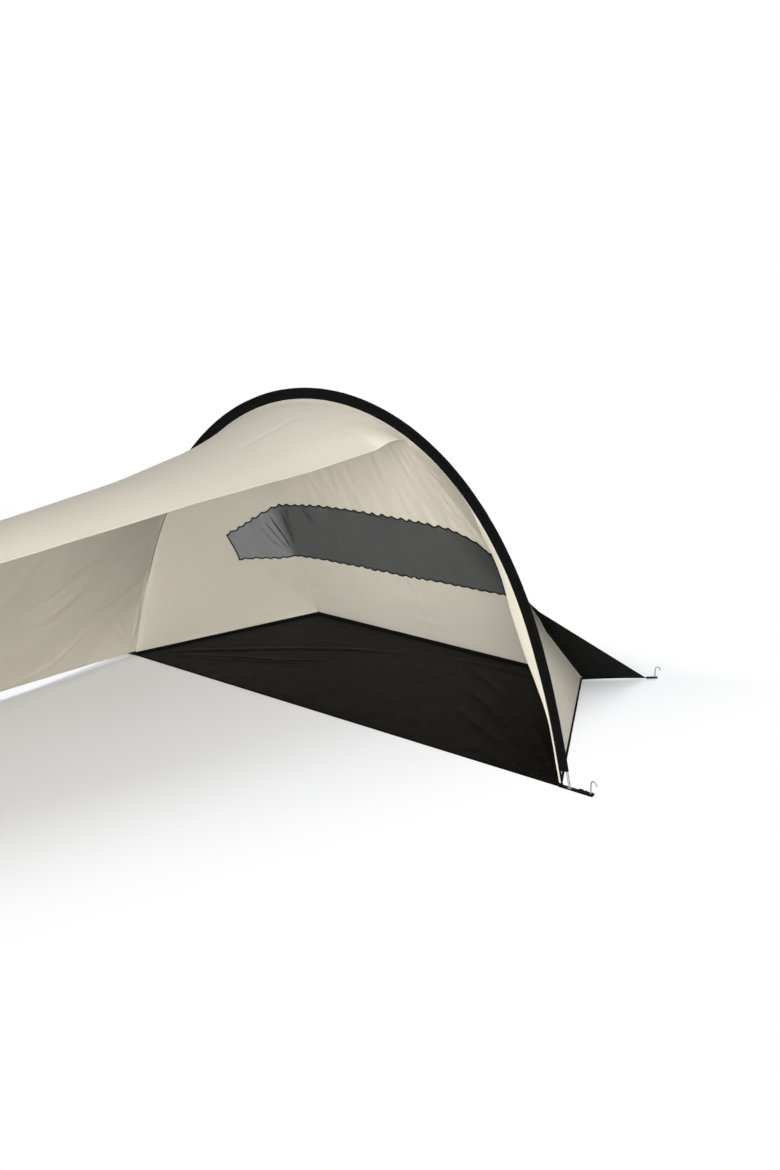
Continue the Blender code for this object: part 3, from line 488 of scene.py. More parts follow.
def surface_lengths(grid):
    """Distances in metres over a grid: across along each row, down along each column."""
    across = np.linalg.norm(np.diff(grid, axis=1), axis=-1)
    down = np.linalg.norm(np.diff(grid, axis=0), axis=-1)
    u = np.concatenate([np.zeros((grid.shape[0], 1)), np.cumsum(across, axis=1)], axis=1)
    v = np.concatenate([np.zeros((1, grid.shape[1])), np.cumsum(down, axis=0)], axis=0)
    return u, v


def cloth_area(grid, cells=None):
    """Area of a grid of points, or of the squares of it that cells marks."""
    below, beside = grid[1:, :-1], grid[:-1, 1:]
    area = sum(np.linalg.norm(np.cross(below - corner, beside - corner), axis=-1) / 2
               for corner in (grid[:-1, :-1], grid[1:, 1:]))
    return float(area.sum() if cells is None else area[cells].sum())


def in_scene(name, data):
    """A new object of this mesh, lamp or camera."""
    thing = bpy.data.objects.new(name, data)
    bpy.context.scene.collection.objects.link(thing)
    return thing


def new_object(name, verts, faces, finish, uv, sharp, body):
    """Make a piece from points and faces; uv holds one pair for each point."""
    mesh = bpy.data.meshes.new(name)
    mesh.from_pydata([tuple(p) for p in np.asarray(verts, float).tolist()], [], faces)
    mesh.validate()
    layer = mesh.uv_layers.new(name="UVMap")
    index = np.empty(len(mesh.loops), int)
    mesh.loops.foreach_get("vertex_index", index)
    layer.data.foreach_set("uv", np.asarray(uv, float)[index].astype(np.float32).ravel())
    mesh.shade_smooth()
    mesh.set_sharp_from_angle(angle=math.radians(sharp))
    mesh.materials.append(finish_of(finish))
    piece = in_scene(name, mesh)
    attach(piece, body)
    return piece


def thin_sheet(name, grid, thickness, finish, cells=None, uv=None, outwards=(0, 0, 1)):
    """A closed sheet of even thickness over a grid of points; cells says which squares are there."""
    rows, columns, _ = grid.shape
    if cells is None:
        cells = np.ones((rows - 1, columns - 1), bool)
    n = normals(grid)
    if (n * np.asarray(outwards, float)).sum() < 0:
        n = -n
    outer, inner = grid + n * thickness / 2, grid - n * thickness / 2
    if uv is None:
        u, v = surface_lengths(grid)
        uv = np.stack([u, v], -1)
    index = np.arange(rows * columns).reshape(rows, columns)
    a, b = index[:-1, :-1][cells], index[:-1, 1:][cells]
    c, d = index[1:, 1:][cells], index[1:, :-1][cells]
    quads = np.stack([a, b, c, d], -1)
    row, column = np.argwhere(cells)[len(quads) // 2]
    sample = np.cross(grid[row, column + 1] - grid[row, column], grid[row + 1, column] - grid[row, column])
    if np.dot(sample, n[row, column]) < 0:
        quads = quads[:, ::-1]
    far = rows * columns
    edges = np.concatenate([quads[:, [0, 1]], quads[:, [1, 2]], quads[:, [2, 3]], quads[:, [3, 0]]])
    keys = np.sort(edges, axis=1)
    _, first, count = np.unique(keys, axis=0, return_index=True, return_counts=True)
    rim = edges[first[count == 1]]
    sides = np.stack([rim[:, 1], rim[:, 0], rim[:, 0] + far, rim[:, 1] + far], -1)
    faces = np.concatenate([quads, quads[:, ::-1] + far, sides])
    used, compact = np.unique(faces, return_inverse=True)
    verts = np.concatenate([outer.reshape(-1, 3), inner.reshape(-1, 3)])[used]
    flat = np.concatenate([uv.reshape(-1, 2), uv.reshape(-1, 2)])[used]
    return new_object(name, verts, compact.reshape(faces.shape).tolist(), finish, flat, 70, BODY)


def path_frames(points):
    """Tangent, side and up at each point of a path, carried along without twist."""
    points = np.asarray(points, float)
    tangents = np.gradient(points, axis=0)
    tangents /= np.linalg.norm(tangents, axis=1, keepdims=True)
    start = np.array([0, 1.0, 0]) if abs(tangents[0][2]) > 0.9 else np.array([0, 0, 1.0])
    side = np.cross(tangents[0], start)
    frames = []
    for tangent in tangents:
        side = side - tangent * np.dot(side, tangent)
        side = side / np.linalg.norm(side)
        frames.append((tangent, side, np.cross(tangent, side)))
    return frames


def loft(name, rings, finish, closed=False, sharp=40, body=BODY):
    """A skin over rings of equal count, capped unless closed; the last ring then meets the first."""
    rings = [np.asarray(ring, float) for ring in rings]
    count, total = len(rings[0]), len(rings)
    verts = np.concatenate(rings)
    faces = []
    for i in range(total if closed else total - 1):
        low, high = i * count, ((i + 1) % total) * count
        for j in range(count):
            k = (j + 1) % count
            faces.append((low + j, low + k, high + k, high + j))
    if not closed:
        faces.append(tuple(range(count))[::-1])
        faces.append(tuple(range((total - 1) * count, total * count)))
    along = path_lengths(np.array([ring.mean(0) for ring in rings]))
    girth = path_lengths(rings[total // 2])
    uv = np.stack(np.broadcast_arrays(girth[None, :], along[:, None]), -1).reshape(-1, 2)
    piece = new_object(name, verts, faces, finish, uv, sharp, body)
    face_outwards(piece.data)
    return piece


def face_outwards(mesh):
    """Turn every face of a closed mesh outwards."""
    bm = bmesh.new()
    bm.from_mesh(mesh)
    bmesh.ops.recalc_face_normals(bm, faces=bm.faces)
    if bm.calc_volume(signed=True) < 0:
        bmesh.ops.reverse_faces(bm, faces=bm.faces)
    bm.to_mesh(mesh)
    bm.free()


def rod(name, points, radii, finish, sides=14, closed=False, body=BODY):
    """A round bar along a path, with its own radius at each point."""
    angles = np.arange(sides) * 2 * math.pi / sides
    rings = []
    for point, radius, (_, side, up) in zip(points, radii, path_frames(points)):
        rings.append(point + radius * (np.cos(angles)[:, None] * side + np.sin(angles)[:, None] * up))
    return loft(name, rings, finish, closed, body=body)


def webbing_strip(name, path, width_dir, width, thickness):
    """A flat tape with rounded edges along a path of its underside's centre line."""
    half, edge = width / 2, thickness / 2
    outline = []
    for centre, first in ((half - edge, -90), (-half + edge, 90)):
        for step in range(5):
            angle = math.radians(first + 45 * step)
            outline.append((centre + edge * math.cos(angle), edge + edge * math.sin(angle)))
    path = np.asarray(path, float)
    across = np.asarray(width_dir, float)
    tangents = np.gradient(path, axis=0)
    rings = []
    for point, tangent in zip(path, tangents):
        up = np.cross(tangent, across)
        up = up / np.linalg.norm(up)
        if up[2] < 0:
            up = -up
        rings.append([point + across * a + up * b for a, b in outline])
    return loft(name, rings, "webbing")


# The shell behind the hoop

# Shares are of the half hoop, from 0 at its crown to 1 at its right foot and -1 at its left foot.
# Falls are of a thread's length, from 0 at the hoop to 1 at the hem.

CORNER_SEAM = 0.22             # where the threads of the rear corners leave the hoop
FIN_TOP_SHARE = 0.568          # the fin's seam, clear of the window's end
FIN_SHARE = 0.600              # and past the window's lower corner
WINDOW_END_TOP = 0.527
WINDOW_END_SILL = 0.588
WINDOW_HEAD = ((-0.60, 0.560), (-0.522, 0.597), (-0.494, 0.616), (-0.435, 0.651), (-0.354, 0.700),
               (-0.307, 0.724), (-0.260, 0.746), (-0.205, 0.768), (-0.170, 0.779), (-0.140, 0.788),
               (-0.081, 0.797), (0.020, 0.800), (0.110, 0.800), (0.155, 0.796), (0.180, 0.784),
               (0.200, 0.756), (0.215, 0.718), (0.240, 0.692), (0.300, 0.672), (0.400, 0.645),
               (0.522, 0.595), (0.60, 0.560))
WINDOW_SILL = ((-0.60, 0.435), (-0.245, 0.435), (-0.170, 0.443), (-0.090, 0.446), (-0.024, 0.444),
               (0.043, 0.452), (0.117, 0.461), (0.185, 0.472), (0.230, 0.476), (0.350, 0.466),
               (0.500, 0.445), (0.60, 0.436))
THREADS_MEET = 0.55            # how much of their spacing the threads lose on their way to the hem


class Shell:
    """Straight threads from the hoop down to the top of the rear and side hems."""

    def __init__(self):
        s = sizes()
        self.hoop = Hoop()
        self.half = self.hoop.length / 2
        self.inset = s.seam_inset + PANEL_GAP
        self.base = s.hem_height + PANEL_GAP
        self.rear_x = s.rear_width / 2
        self.depth = s.ground_depth
        self.foot = self.hoop.share_at(self.base, s.seam_inset)

    def top(self, share):
        return self.hoop.share(share, self.inset, PANEL_BACK)

    def bottom(self, share):
        share = np.asarray(share, float)
        x = np.where(np.abs(share) >= CORNER_SEAM, np.sign(share) * self.rear_x,
                     self.rear_x * share / CORNER_SEAM)
        return np.stack(np.broadcast_arrays(x, self.depth, self.base), -1)

    def thread(self, share):
        """Length of the straight thread at each share."""
        return np.linalg.norm(self.bottom(share) - self.top(share), axis=-1)

    def width(self, metres, fall):
        """A width as a difference in share, larger lower down, where the threads run closer."""
        return metres / self.half / (1 - fall * 0.72)

    def at(self, share, fall):
        share = np.clip(share, -self.foot, self.foot)
        top = self.top(share)
        return top + (self.bottom(share) - top) * np.asarray(fall)[..., None]

    def fall_at(self, share, height):
        top = self.top(share)[..., 2]
        return (top - height) / (top - self.base)

    def window(self, share):
        """Fall of the window's upper and lower edges, which real cloth pulls out of line."""
        high = np.clip(share, -WINDOW_END_TOP, WINDOW_END_TOP)
        low = np.clip(share, -WINDOW_END_SILL, WINDOW_END_SILL)
        return (self.fall_at(high, np.interp(high, *np.transpose(WINDOW_HEAD))),
                self.fall_at(low, np.interp(low, *np.transpose(WINDOW_SILL))))


SEAM_COLUMNS = 70
WINDOW_COLUMNS = 96
BETWEEN_COLUMNS = 6
END_COLUMNS = 36
HEAD_ROWS = 44
WINDOW_ROWS = 24
SILL_ROWS = 34
LAST_FALL = 0.9965             # a side wall's lowest row stays clear of its hem
SCALLOP_LENGTH = 0.050
HEAD_SCALLOP = 0.0070
SILL_SCALLOP = 0.0062


def window_end(part):
    """Share of the window's end; part runs from 0 at its head to 1 at its sill."""
    return WINDOW_END_TOP + (WINDOW_END_SILL - WINDOW_END_TOP) * part


def fin_share(part):
    """The fin's seam runs clear of the window, then back past its lower corner."""
    return FIN_TOP_SHARE + (FIN_SHARE - FIN_TOP_SHARE) * np.maximum(0.0, 2 * np.asarray(part) - 1)


def shell_columns(shell, part):
    """Shares of all the columns; part runs from 0 at the window's head to 1 at its sill."""
    end = window_end(part)
    fin = float(fin_share(part))
    half = np.concatenate([
        np.linspace(0, CORNER_SEAM, SEAM_COLUMNS, endpoint=False),
        np.linspace(CORNER_SEAM, end, WINDOW_COLUMNS, endpoint=False),
        np.linspace(end, fin, BETWEEN_COLUMNS, endpoint=False),
        np.linspace(fin, shell.foot, END_COLUMNS + 1)])
    return np.concatenate([-half[:0:-1], half])


def shell_grid(shell):
    """Shares and falls of the shell's grid, whose lines follow the window's edges."""
    shares, falls = [], []
    for i in range(HEAD_ROWS):
        share = shell_columns(shell, 0)
        shares.append(share)
        falls.append(shell.window(share)[0] * i / HEAD_ROWS)
    for i in range(WINDOW_ROWS + 1):
        share = shell_columns(shell, i / WINDOW_ROWS)
        head, sill = shell.window(share)
        shares.append(share)
        falls.append(head + (sill - head) * i / WINDOW_ROWS)
    for i in range(1, SILL_ROWS + 1):
        share = shell_columns(shell, 1)
        sill = shell.window(share)[1]
        shares.append(share)
        last = np.where(np.abs(share) > CORNER_SEAM, LAST_FALL, 1.0)
        falls.append(sill + (last - sill) * i / SILL_ROWS)
    return np.array(shares), np.array(falls)


def window_distance(shell, share, fall):
    """Signed distance in metres from the window's edge, negative inside it."""
    head, sill = shell.window(share)
    line = shell.thread(share)
    end = window_end(np.clip((fall - head) / (sill - head), 0, 1))
    width = shell.half * (1 - fall * 0.75)
    side = (np.abs(share) - end) * width
    return np.maximum(np.maximum((head - fall) * line, (fall - sill) * line), side)


def window_scallop(shell, share, sill):
    """How far the opening's gathered edge waves down, in metres."""
    middle = 620
    table = np.linspace(-0.62, 0.62, 2 * middle + 1)
    runs = path_lengths(shell.at(table, shell.window(table)[1 if sill else 0]))
    along = np.interp(share, table, runs - runs[middle])
    seed = 5 if sill else 3
    turn = along * 2 * math.pi / SCALLOP_LENGTH + 1.4 * lattice(along, 0.0, 0.12, seed)
    wave = np.sin(turn) + 0.22 * np.cos(2 * turn) + 0.20 * lattice(along, 0.0, 0.012, seed + 20)
    height = SILL_SCALLOP if sill else HEAD_SCALLOP
    return wave * height * (0.90 + 0.20 * lattice(along, 0.0, 0.07, seed + 1))


def shell_flat(shell, share, fall):
    """Distances in metres along the hoop and down the threads."""
    return share * shell.hoop.length / 2, fall * shell.thread(share)


def flat_path(shell, path):
    """A path of (share, fall) points as distances along the hoop and down the threads."""
    return [[float(value) for value in shell_flat(shell, np.array(share), np.array(fall))]
            for share, fall in path]


# Each crease is a path, a height, negative where it is pressed in, and a half width in metres.

SHELL_CREASES = (
    (((-0.80, 0.03), (-0.77, 0.085), (-0.745, 0.125), (-0.693, 0.195), (-0.650, 0.255), (-0.60, 0.32)),
     -0.0022, 0.009),
    (((-0.128, 0.24), (-0.115, 0.32), (-0.108, 0.38)), -0.0030, 0.010),
    (((-0.092, 0.24), (-0.078, 0.363)), -0.0028, 0.009),
    (((0.205, 0.05), (0.200, 0.20), (0.205, 0.40)), -0.0010, 0.010),
    (((0.255, 0.02), (0.282, 0.09), (0.318, 0.20)), -0.0010, 0.010),
)


def shell_relief(shell, share, fall):
    """How far the cloth stands off its straight threads, outwards, in metres."""
    along, down = shell_flat(shell, share, fall)
    up = down * (1 - fall) / np.maximum(fall, 1e-6)
    up = np.where(fall < 1e-5, 1.5, up)
    squeeze = 1 - fall * THREADS_MEET
    broad = 0.0042 * lattice(along * squeeze, down, 0.42, 11)
    broad = broad + 0.0018 * lattice(along * squeeze, down, 0.19, 12)
    tall = 0.0011 * lattice(along, down * 0.16, 0.034, 13)
    gap = window_distance(shell, share, fall)
    above = rise(gap, 0, 0.02) * (fall < 0.5)
    under_roof = above * rise(down, 0.05, 0.16) * (1 - rise(np.abs(share), 0.30, 0.45))
    quiet = 1 - 0.65 * rise(share, 0.16, 0.30)
    hanging = 0.0022 * quiet * under_roof * lattice(along + down * 0.05, down * 0.16, 0.024, 19)
    near_window = np.exp(-(np.maximum(gap, 0) / 0.055) ** 2)
    gathers = 0.0022 * near_window * lattice(along * squeeze, down * 0.18, 0.026, 14)
    from_hoop = 0.0010 * quiet * np.exp(-(down / 0.16) ** 2) * lattice(along, down * 0.22, 0.036, 15)
    from_hem = 0.0022 * np.exp(-(up / 0.11) ** 2) * lattice(along * squeeze, down * 0.2, 0.045, 16)
    seam = np.abs(np.abs(share) - CORNER_SEAM) * shell.half * squeeze
    seam_ripple = 0.0020 * np.exp(-(seam / 0.05) ** 2) * lattice(along * 0.3, down, 0.040, 17)
    centre = np.abs(share) * shell.half
    below = rise(gap, 0, 0.05) * (fall > 0.5)
    seam_ripple = seam_ripple - 0.0022 * below * np.exp(-(centre * squeeze / 0.005) ** 2)
    seam_ripple += 0.0016 * below * np.exp(-(centre / 0.05) ** 2) * lattice(along * 0.3, down, 0.035, 18)
    relief = broad + tall + hanging + gathers + from_hoop + from_hem + seam_ripple
    relief = creased(relief, along, down, [(flat_path(shell, path), height, width)
                                           for path, height, width in SHELL_CREASES])
    head, sill = shell.window(share)
    column = fin_share(np.clip((fall - head) / (sill - head), 0, 1))
    on_fin = np.exp(-((np.abs(share) - column) / 0.02) ** 2)
    beside_fin = rise(np.abs(share), 0.40, 0.50) * (1 - rise(np.abs(share), 0.66, 0.80))
    relief = relief * (1 - 0.6 * beside_fin) * (1 - 0.85 * on_fin)
    drawn_in = rise(np.abs(share), 0.22, 0.36) * (1 - rise(np.abs(share), 0.44, 0.56))
    relief = relief - 0.0110 * drawn_in * rise(down, 0.15, 0.50) * rise(up, 0.10, 0.40)
    edges = rise(down, 0, 0.03) * rise(up, 0, 0.03) * rise(shell.foot - np.abs(share), 0, 0.02)
    return relief * edges


def shell_surface(shell, share, fall, lift=0.0):
    """Points of the wrinkled shell, lifted outwards by this much, and its normals."""
    grid = shell.at(share, fall)
    step = 0.002
    above = np.minimum(fall, 0.95)
    across = shell.at(share + step, above) - shell.at(share - step, above)
    down = shell.bottom(share) - shell.top(share)
    n = np.cross(across, down)
    n = n / np.linalg.norm(n, axis=-1, keepdims=True)
    n = np.where((n[..., 1] + n[..., 2] < 0)[..., None], -n, n)
    return grid + n * (shell_relief(shell, share, fall) + lift)[..., None], n


# Stitching

def stitch_tree():
    """Running stitch: a small bead of thread at every step along a path."""
    tree = bpy.data.node_groups.new("running_stitch", "GeometryNodeTree")
    face = tree.interface
    face.new_socket("Geometry", in_out="INPUT", socket_type="NodeSocketGeometry")
    for name, value in (("Pitch", 0.006), ("Stitch length", 0.004), ("Thread radius", 0.0006)):
        socket = face.new_socket(name, in_out="INPUT", socket_type="NodeSocketFloat")
        socket.default_value = value
    face.new_socket("Thread", in_out="INPUT", socket_type="NodeSocketMaterial")
    face.new_socket("Geometry", in_out="OUTPUT", socket_type="NodeSocketGeometry")
    nodes = Nodes(tree)
    line, pitch, length, radius, thread = [nodes.add("NodeGroupInput", output=i) for i in range(5)]
    curve = nodes.add("GeometryNodeMeshToCurve", None, line)
    steps = nodes.add("GeometryNodeResampleCurve", {"mode": "LENGTH"}, Curve=curve, Length=pitch)
    bead = nodes.add("GeometryNodeMeshUVSphere", Segments=6, Rings=4, Radius=1.0)
    size = nodes.add("ShaderNodeCombineXYZ", None, radius, radius, length * 0.5)
    turn = nodes.add("FunctionNodeAlignRotationToVector", {"axis": "Z"},
                     Vector=nodes.add("GeometryNodeInputTangent"))
    copies = nodes.add("GeometryNodeInstanceOnPoints", Points=steps, Instance=bead, Rotation=turn, Scale=size)
    real = nodes.add("GeometryNodeRealizeInstances", None, copies)
    smooth = nodes.add("GeometryNodeSetShadeSmooth", None, real)
    dyed = nodes.add("GeometryNodeSetMaterial", Geometry=smooth, Material=thread)
    nodes.put(tree.nodes.new("NodeGroupOutput").inputs[0], dyed)
    return tree


def stitch_rows(name, paths, finish, pitch, length, radius):
    """Sew along each path with one thread; the beads become one plain mesh."""
    verts, edges = [], []
    for path in paths:
        start = len(verts)
        verts += [tuple(p) for p in np.asarray(path, float).tolist()]
        edges += [(start + i, start + i + 1) for i in range(len(path) - 1)]
    mesh = bpy.data.meshes.new(name)
    mesh.from_pydata(verts, edges, [])
    piece = in_scene(name, mesh)
    tree = bpy.data.node_groups.get("running_stitch") or stitch_tree()
    modifier = piece.modifiers.new("stitches", "NODES")
    modifier.node_group = tree
    values = {"Pitch": pitch, "Stitch length": length, "Thread radius": radius, "Thread": finish_of(finish)}
    for item in tree.interface.items_tree:
        if item.in_out == "INPUT" and item.name in values:
            modifier[item.identifier] = values[item.name]
    piece.update_tag()
    graph = bpy.context.evaluated_depsgraph_get()
    beads = bpy.data.meshes.new_from_object(piece.evaluated_get(graph))
    piece.modifiers.clear()
    piece.data = beads
    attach(piece, BODY)
    return piece


# Pieces

def round_points(radius, degrees):
    """Points of a circle at these angles."""
    return [(radius * math.cos(math.radians(a)), radius * math.sin(math.radians(a))) for a in degrees]


def squared(value, power):
    """A sine or cosine pushed towards 1 and -1, which turns a circle into a rounded square."""
    return math.copysign(abs(value) ** power, value)


def unit(vector):
    return vector / np.linalg.norm(vector)


def dress(nodes, finish):
    """Give CAD pieces whose shape is right their finish."""
    for name in nodes:
        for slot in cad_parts[name].material_slots:
            slot.material = finish_of(finish)


class SUNSHADE_OT_poles(bpy.types.Operator):
    """Finish the hoop pole, the eyelets, the grommet and the upright"""
    bl_idname = "sunshade.poles"
    bl_label = "Poles and eyelets"

    def execute(self, context):
        dress([f"pole_section_{i}" for i in range(1, 10)] + ["pole_tip_left", "pole_tip_right"], "metal")
        dress(["foot_eyelet_left", "foot_eyelet_right", "awning_grommet"], "wire")
        dress(["upright_tip", "upright_upper_tube", "upright_lower_tube"], "metal")
        dress(["upright_foot", "upright_lock_collar"], "plastic")
        return {"FINISHED"}


class SUNSHADE_OT_sleeve(bpy.types.Operator):
    """Sew the black sleeve round the hoop pole"""
    bl_idname = "sunshade.sleeve"
    bl_label = "Pole sleeve"
    TUBE = 0.0070
    BORE = 0.0055
    WEB = ((-0.0085, 0.0036), (-0.012, 0.0024), (-0.017, 0.0017), (-0.024, 0.0014), (-0.031, 0.0013))
    EDGE_FROM, EDGE_TO = -0.80, -0.45

    def execute(self, context):
        s = sizes()
        hoop = Hoop()
        end = hoop.share_at(s.sleeve_end, 0.0)
        shares = np.linspace(-end, end, 361)
        outer = round_points(self.TUBE, range(-140, 141, 20))
        web = [*self.WEB, (-s.seam_inset, 0.0012)]
        outline = outer + web + [(out, -back) for out, back in reversed(web)]
        inside = round_points(self.BORE, np.linspace(-150, 182, len(outline)))
        rings = []
        for share in shares:
            along = share * hoop.length / 2
            ring = []
            for out, back in outline:
                depth = -out / s.seam_inset
                loose = math.sin(math.pi * min(max(depth, 0), 1))
                shift = 0.0011 * loose * float(lattice(along, 0, 0.045, 21))
                swell = 1 + 0.05 * float(lattice(along, back * 40, 0.03, 22)) * (out > -0.008)
                ring.append(hoop.share(share, -out * swell, back * swell + shift))
            rings.append(ring)
        for share in shares[::-1]:
            rings.append([hoop.share(share, -out, back) for out, back in inside])
        sleeve = loft("sleeve_cloth", rings, "black", closed=True)
        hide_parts("pole_sleeve")
        rows = [[hoop.share(share, s.seam_inset - 0.004, side * 0.0015)
                 for share in np.linspace(-end, end, 700)] for side in (-1, 1)]
        stitch_rows("sleeve_stitches", rows, "black", 0.007, 0.005, 0.0005)
        shares = np.linspace(self.EDGE_FROM, self.EDGE_TO, 120)
        plump = rise(shares, self.EDGE_FROM, -0.76) * (1 - rise(shares, -0.50, self.EDGE_TO))
        edge = [hoop.share(a, s.seam_inset + 0.0022, 0.0) for a in shares]
        piping = rod("sleeve_inner_edge", edge, 0.0013 * (plump * 0.85 + 0.15), "black", sides=8)
        return {"FINISHED"}


class SUNSHADE_OT_rear_canopy(bpy.types.Operator):
    """Hang the sand-coloured shell behind the hoop, with its seams and its window opening"""
    bl_idname = "sunshade.rear_canopy"
    bl_label = "Rear canopy"

    def execute(self, context):
        shell = Shell()
        share, fall = shell_grid(shell)
        cells = np.ones((share.shape[0] - 1, share.shape[1] - 1), bool)
        middle = share.shape[1] // 2
        reach = SEAM_COLUMNS + WINDOW_COLUMNS
        cells[HEAD_ROWS:HEAD_ROWS + WINDOW_ROWS, middle - reach:middle + reach] = False
        fall = self.scallop(shell, share, fall, middle, reach)
        grid, _ = shell_surface(shell, share, fall)
        along, down = shell_flat(shell, share, fall)
        uv = np.stack([along * (1 - fall * THREADS_MEET), down], -1)
        canopy = thin_sheet("canopy_cloth", grid, sizes().cloth, "sand", cells, uv)
        area = cloth_area(shell.at(share, fall), cells)
        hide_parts("rear_canopy")
        self.seams(shell)
        return {"FINISHED"}

    def scallop(self, shell, share, fall, middle, reach):
        """Wave the two rows that border the window, fading into the rows beyond."""
        line = shell.thread(share)
        columns = np.abs(np.arange(share.shape[1]) - middle)
        inside = 1 - rise(columns, reach - 3, reach + 1)
        rows = np.arange(share.shape[0])[:, None]
        for edge, sill in ((HEAD_ROWS, False), (HEAD_ROWS + WINDOW_ROWS, True)):
            fade = np.exp(-((rows - edge) / 2.5) ** 2)
            fall = fall + fade * inside * window_scallop(shell, share, sill) / line
        return fall

    def seams(self, shell):
        """Felled seams: down both rear corners and from the window's sill to the rear hem."""
        strips = []
        for share in (-CORNER_SEAM, CORNER_SEAM, 0.0):
            head, sill = [float(f) for f in shell.window(np.array(share))]
            runs = [(0.003, head - 0.004), (sill + 0.004, 0.998)] if share else [(sill + 0.004, 1.0)]
            for low, high in runs:
                strips.append((share, np.linspace(low, high, max(8, int((high - low) * 150)))))
        paths = []
        for share, falls in strips:
            for side in (-1, 1):
                points, n = shell_surface(shell, share + side * shell.width(0.0040, falls), falls)
                paths += [points + n * lift for lift in (0.0019, -0.0010)]
        stitch_rows("canopy_seam_stitches", paths, "thread_sand", 0.0075, 0.0055, 0.0006)
        for number, (share, falls) in enumerate(strips, 1):
            shares = share + shell.width(0.0062, falls)[:, None] * np.linspace(-1, 1, 7)[None, :]
            fall = np.broadcast_to(falls[:, None], shares.shape)
            points, _ = shell_surface(shell, shares, fall, 0.0012)
            band = thin_sheet(f"canopy_seam_{number}", points, 0.0009, "sand", outwards=(0, 1, 1))


# Each pleat is a path, how much it closes the net, and a half width in metres.

NET_PLEATS = (
    (((-0.290, 0.400), (-0.286, 0.444), (-0.269, 0.511), (-0.254, 0.571), (-0.238, 0.630)), 0.30, 0.0065),
    (((-0.335, 0.410), (-0.309, 0.506), (-0.288, 0.566), (-0.262, 0.628)), 0.17, 0.0065),
    (((-0.372, 0.395), (-0.367, 0.456), (-0.340, 0.541), (-0.300, 0.600)), 0.07, 0.0090),
    (((-0.230, 0.400), (-0.217, 0.499), (-0.215, 0.580), (-0.222, 0.620)), 0.10, 0.0080),
    (((-0.205, 0.410), (-0.209, 0.461), (-0.209, 0.560)), 0.05, 0.0090),
    (((-0.172, 0.405), (-0.160, 0.450), (-0.150, 0.490)), 0.07, 0.0120),
)

NET_LAP = 0.0015               # how far the net reaches under the canopy's edge
NET_INSIDE = 0.0014            # and how far inside the canopy it hangs
WINDOW_TAPE_RADIUS = 0.0031


class SUNSHADE_OT_window(bpy.types.Operator):
    """Set the net in the window and bind its edge with gathered black tape"""
    bl_idname = "sunshade.window"
    bl_label = "Mesh window"

    def execute(self, context):
        shell = Shell()
        columns, rows = 480, 50
        shares, falls = [], []
        for i in range(rows + 1):
            part = i / rows
            end = window_end(part) + 0.0016
            share = end * np.linspace(-1, 1, columns + 1)
            line = shell.thread(share)
            head, sill = shell.window(share)
            within = 1 - rise(np.abs(share), end - 0.02, end)
            head = head + (within * window_scallop(shell, share, False) - NET_LAP) / line
            sill = sill + (within * window_scallop(shell, share, True) + NET_LAP) / line
            shares.append(share)
            falls.append(head + (sill - head) * part)
        share, fall = np.array(shares), np.array(falls)
        along, down = shell_flat(shell, share, fall)
        inside = np.maximum(-window_distance(shell, share, fall), 0)
        gathers = lattice(along, down * 0.10, 0.019, 31)
        pleat = 0.0018 * gathers * np.exp(-(inside / 0.05) ** 2)
        billow = 0.0040 * lattice(along, down * 0.5, 0.22, 32) * rise(inside, 0, 0.06)
        # The net is more see-through at its left end and darker towards its right end; the darkening towards
        # the right is painted shade.
        openness = 0.17 * rise(-share, 0.205, 0.295) - 0.045 * rise(share, 0.16, 0.23)
        openness = openness - 0.100 * rise(share, 0.12, 0.30)
        upper = shell_flat(shell, share, shell.window(share)[0])[1]
        openness = openness + 0.045 * gathers * np.exp(-((down - upper) / 0.035) ** 2)
        for path, depth, width in NET_PLEATS:
            fold = crease(along, down, flat_path(shell, path), 1.0, width)
            pleat = pleat + 0.0020 * fold
            openness = openness - depth * fold
        grid, n = shell_surface(shell, share, fall)
        grid = grid + n * (pleat + billow - NET_INSIDE)[..., None]
        uv = np.stack([along * (1 - fall * THREADS_MEET), down], -1)
        net = thin_sheet("window_net", grid, sizes().net, "net", uv=uv)
        both = np.concatenate([openness.ravel(), openness.ravel()])
        layer = net.data.attributes.new("openness", "FLOAT", "POINT")
        layer.data.foreach_set("value", both.astype(np.float32))
        cloth_area(grid)
        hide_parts("window_mesh")
        self.binding(shell)
        return {"FINISHED"}

    def binding(self, shell):
        """Gathered tape round the opening: over its head, down one end, back along the sill and up."""
        top = np.linspace(-WINDOW_END_TOP, WINDOW_END_TOP, 620)
        side = np.linspace(0, 1, 60)[1:-1]
        sill = np.linspace(WINDOW_END_SILL, -WINDOW_END_SILL, 620)
        ends = window_end(side)
        shares = np.concatenate([top, ends, sill, -ends[::-1]])
        part = np.concatenate([top * 0, side, sill * 0 + 1, side[::-1]])
        head, low = shell.window(shares)
        falls = head + (low - head) * part
        line = shell.thread(shares)
        for at, end in ((0, WINDOW_END_TOP), (1, WINDOW_END_SILL)):
            within = (part == at) * (1 - rise(np.abs(shares), end - 0.015, end))
            falls = falls + within * window_scallop(shell, shares, at == 1) / line
        points, n = shell_surface(shell, shares, falls)
        points = points - n * 0.0030
        along = path_lengths(points)
        gathers = np.sin(along * 2 * math.pi / 0.009) * lattice(along, along * 0, 0.02, 34)
        tape_edge = rod("window_edge_tape", points, WINDOW_TAPE_RADIUS * (1 + 0.20 * gathers), "webbing",
                        sides=10, closed=True)
        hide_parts("window_binding")


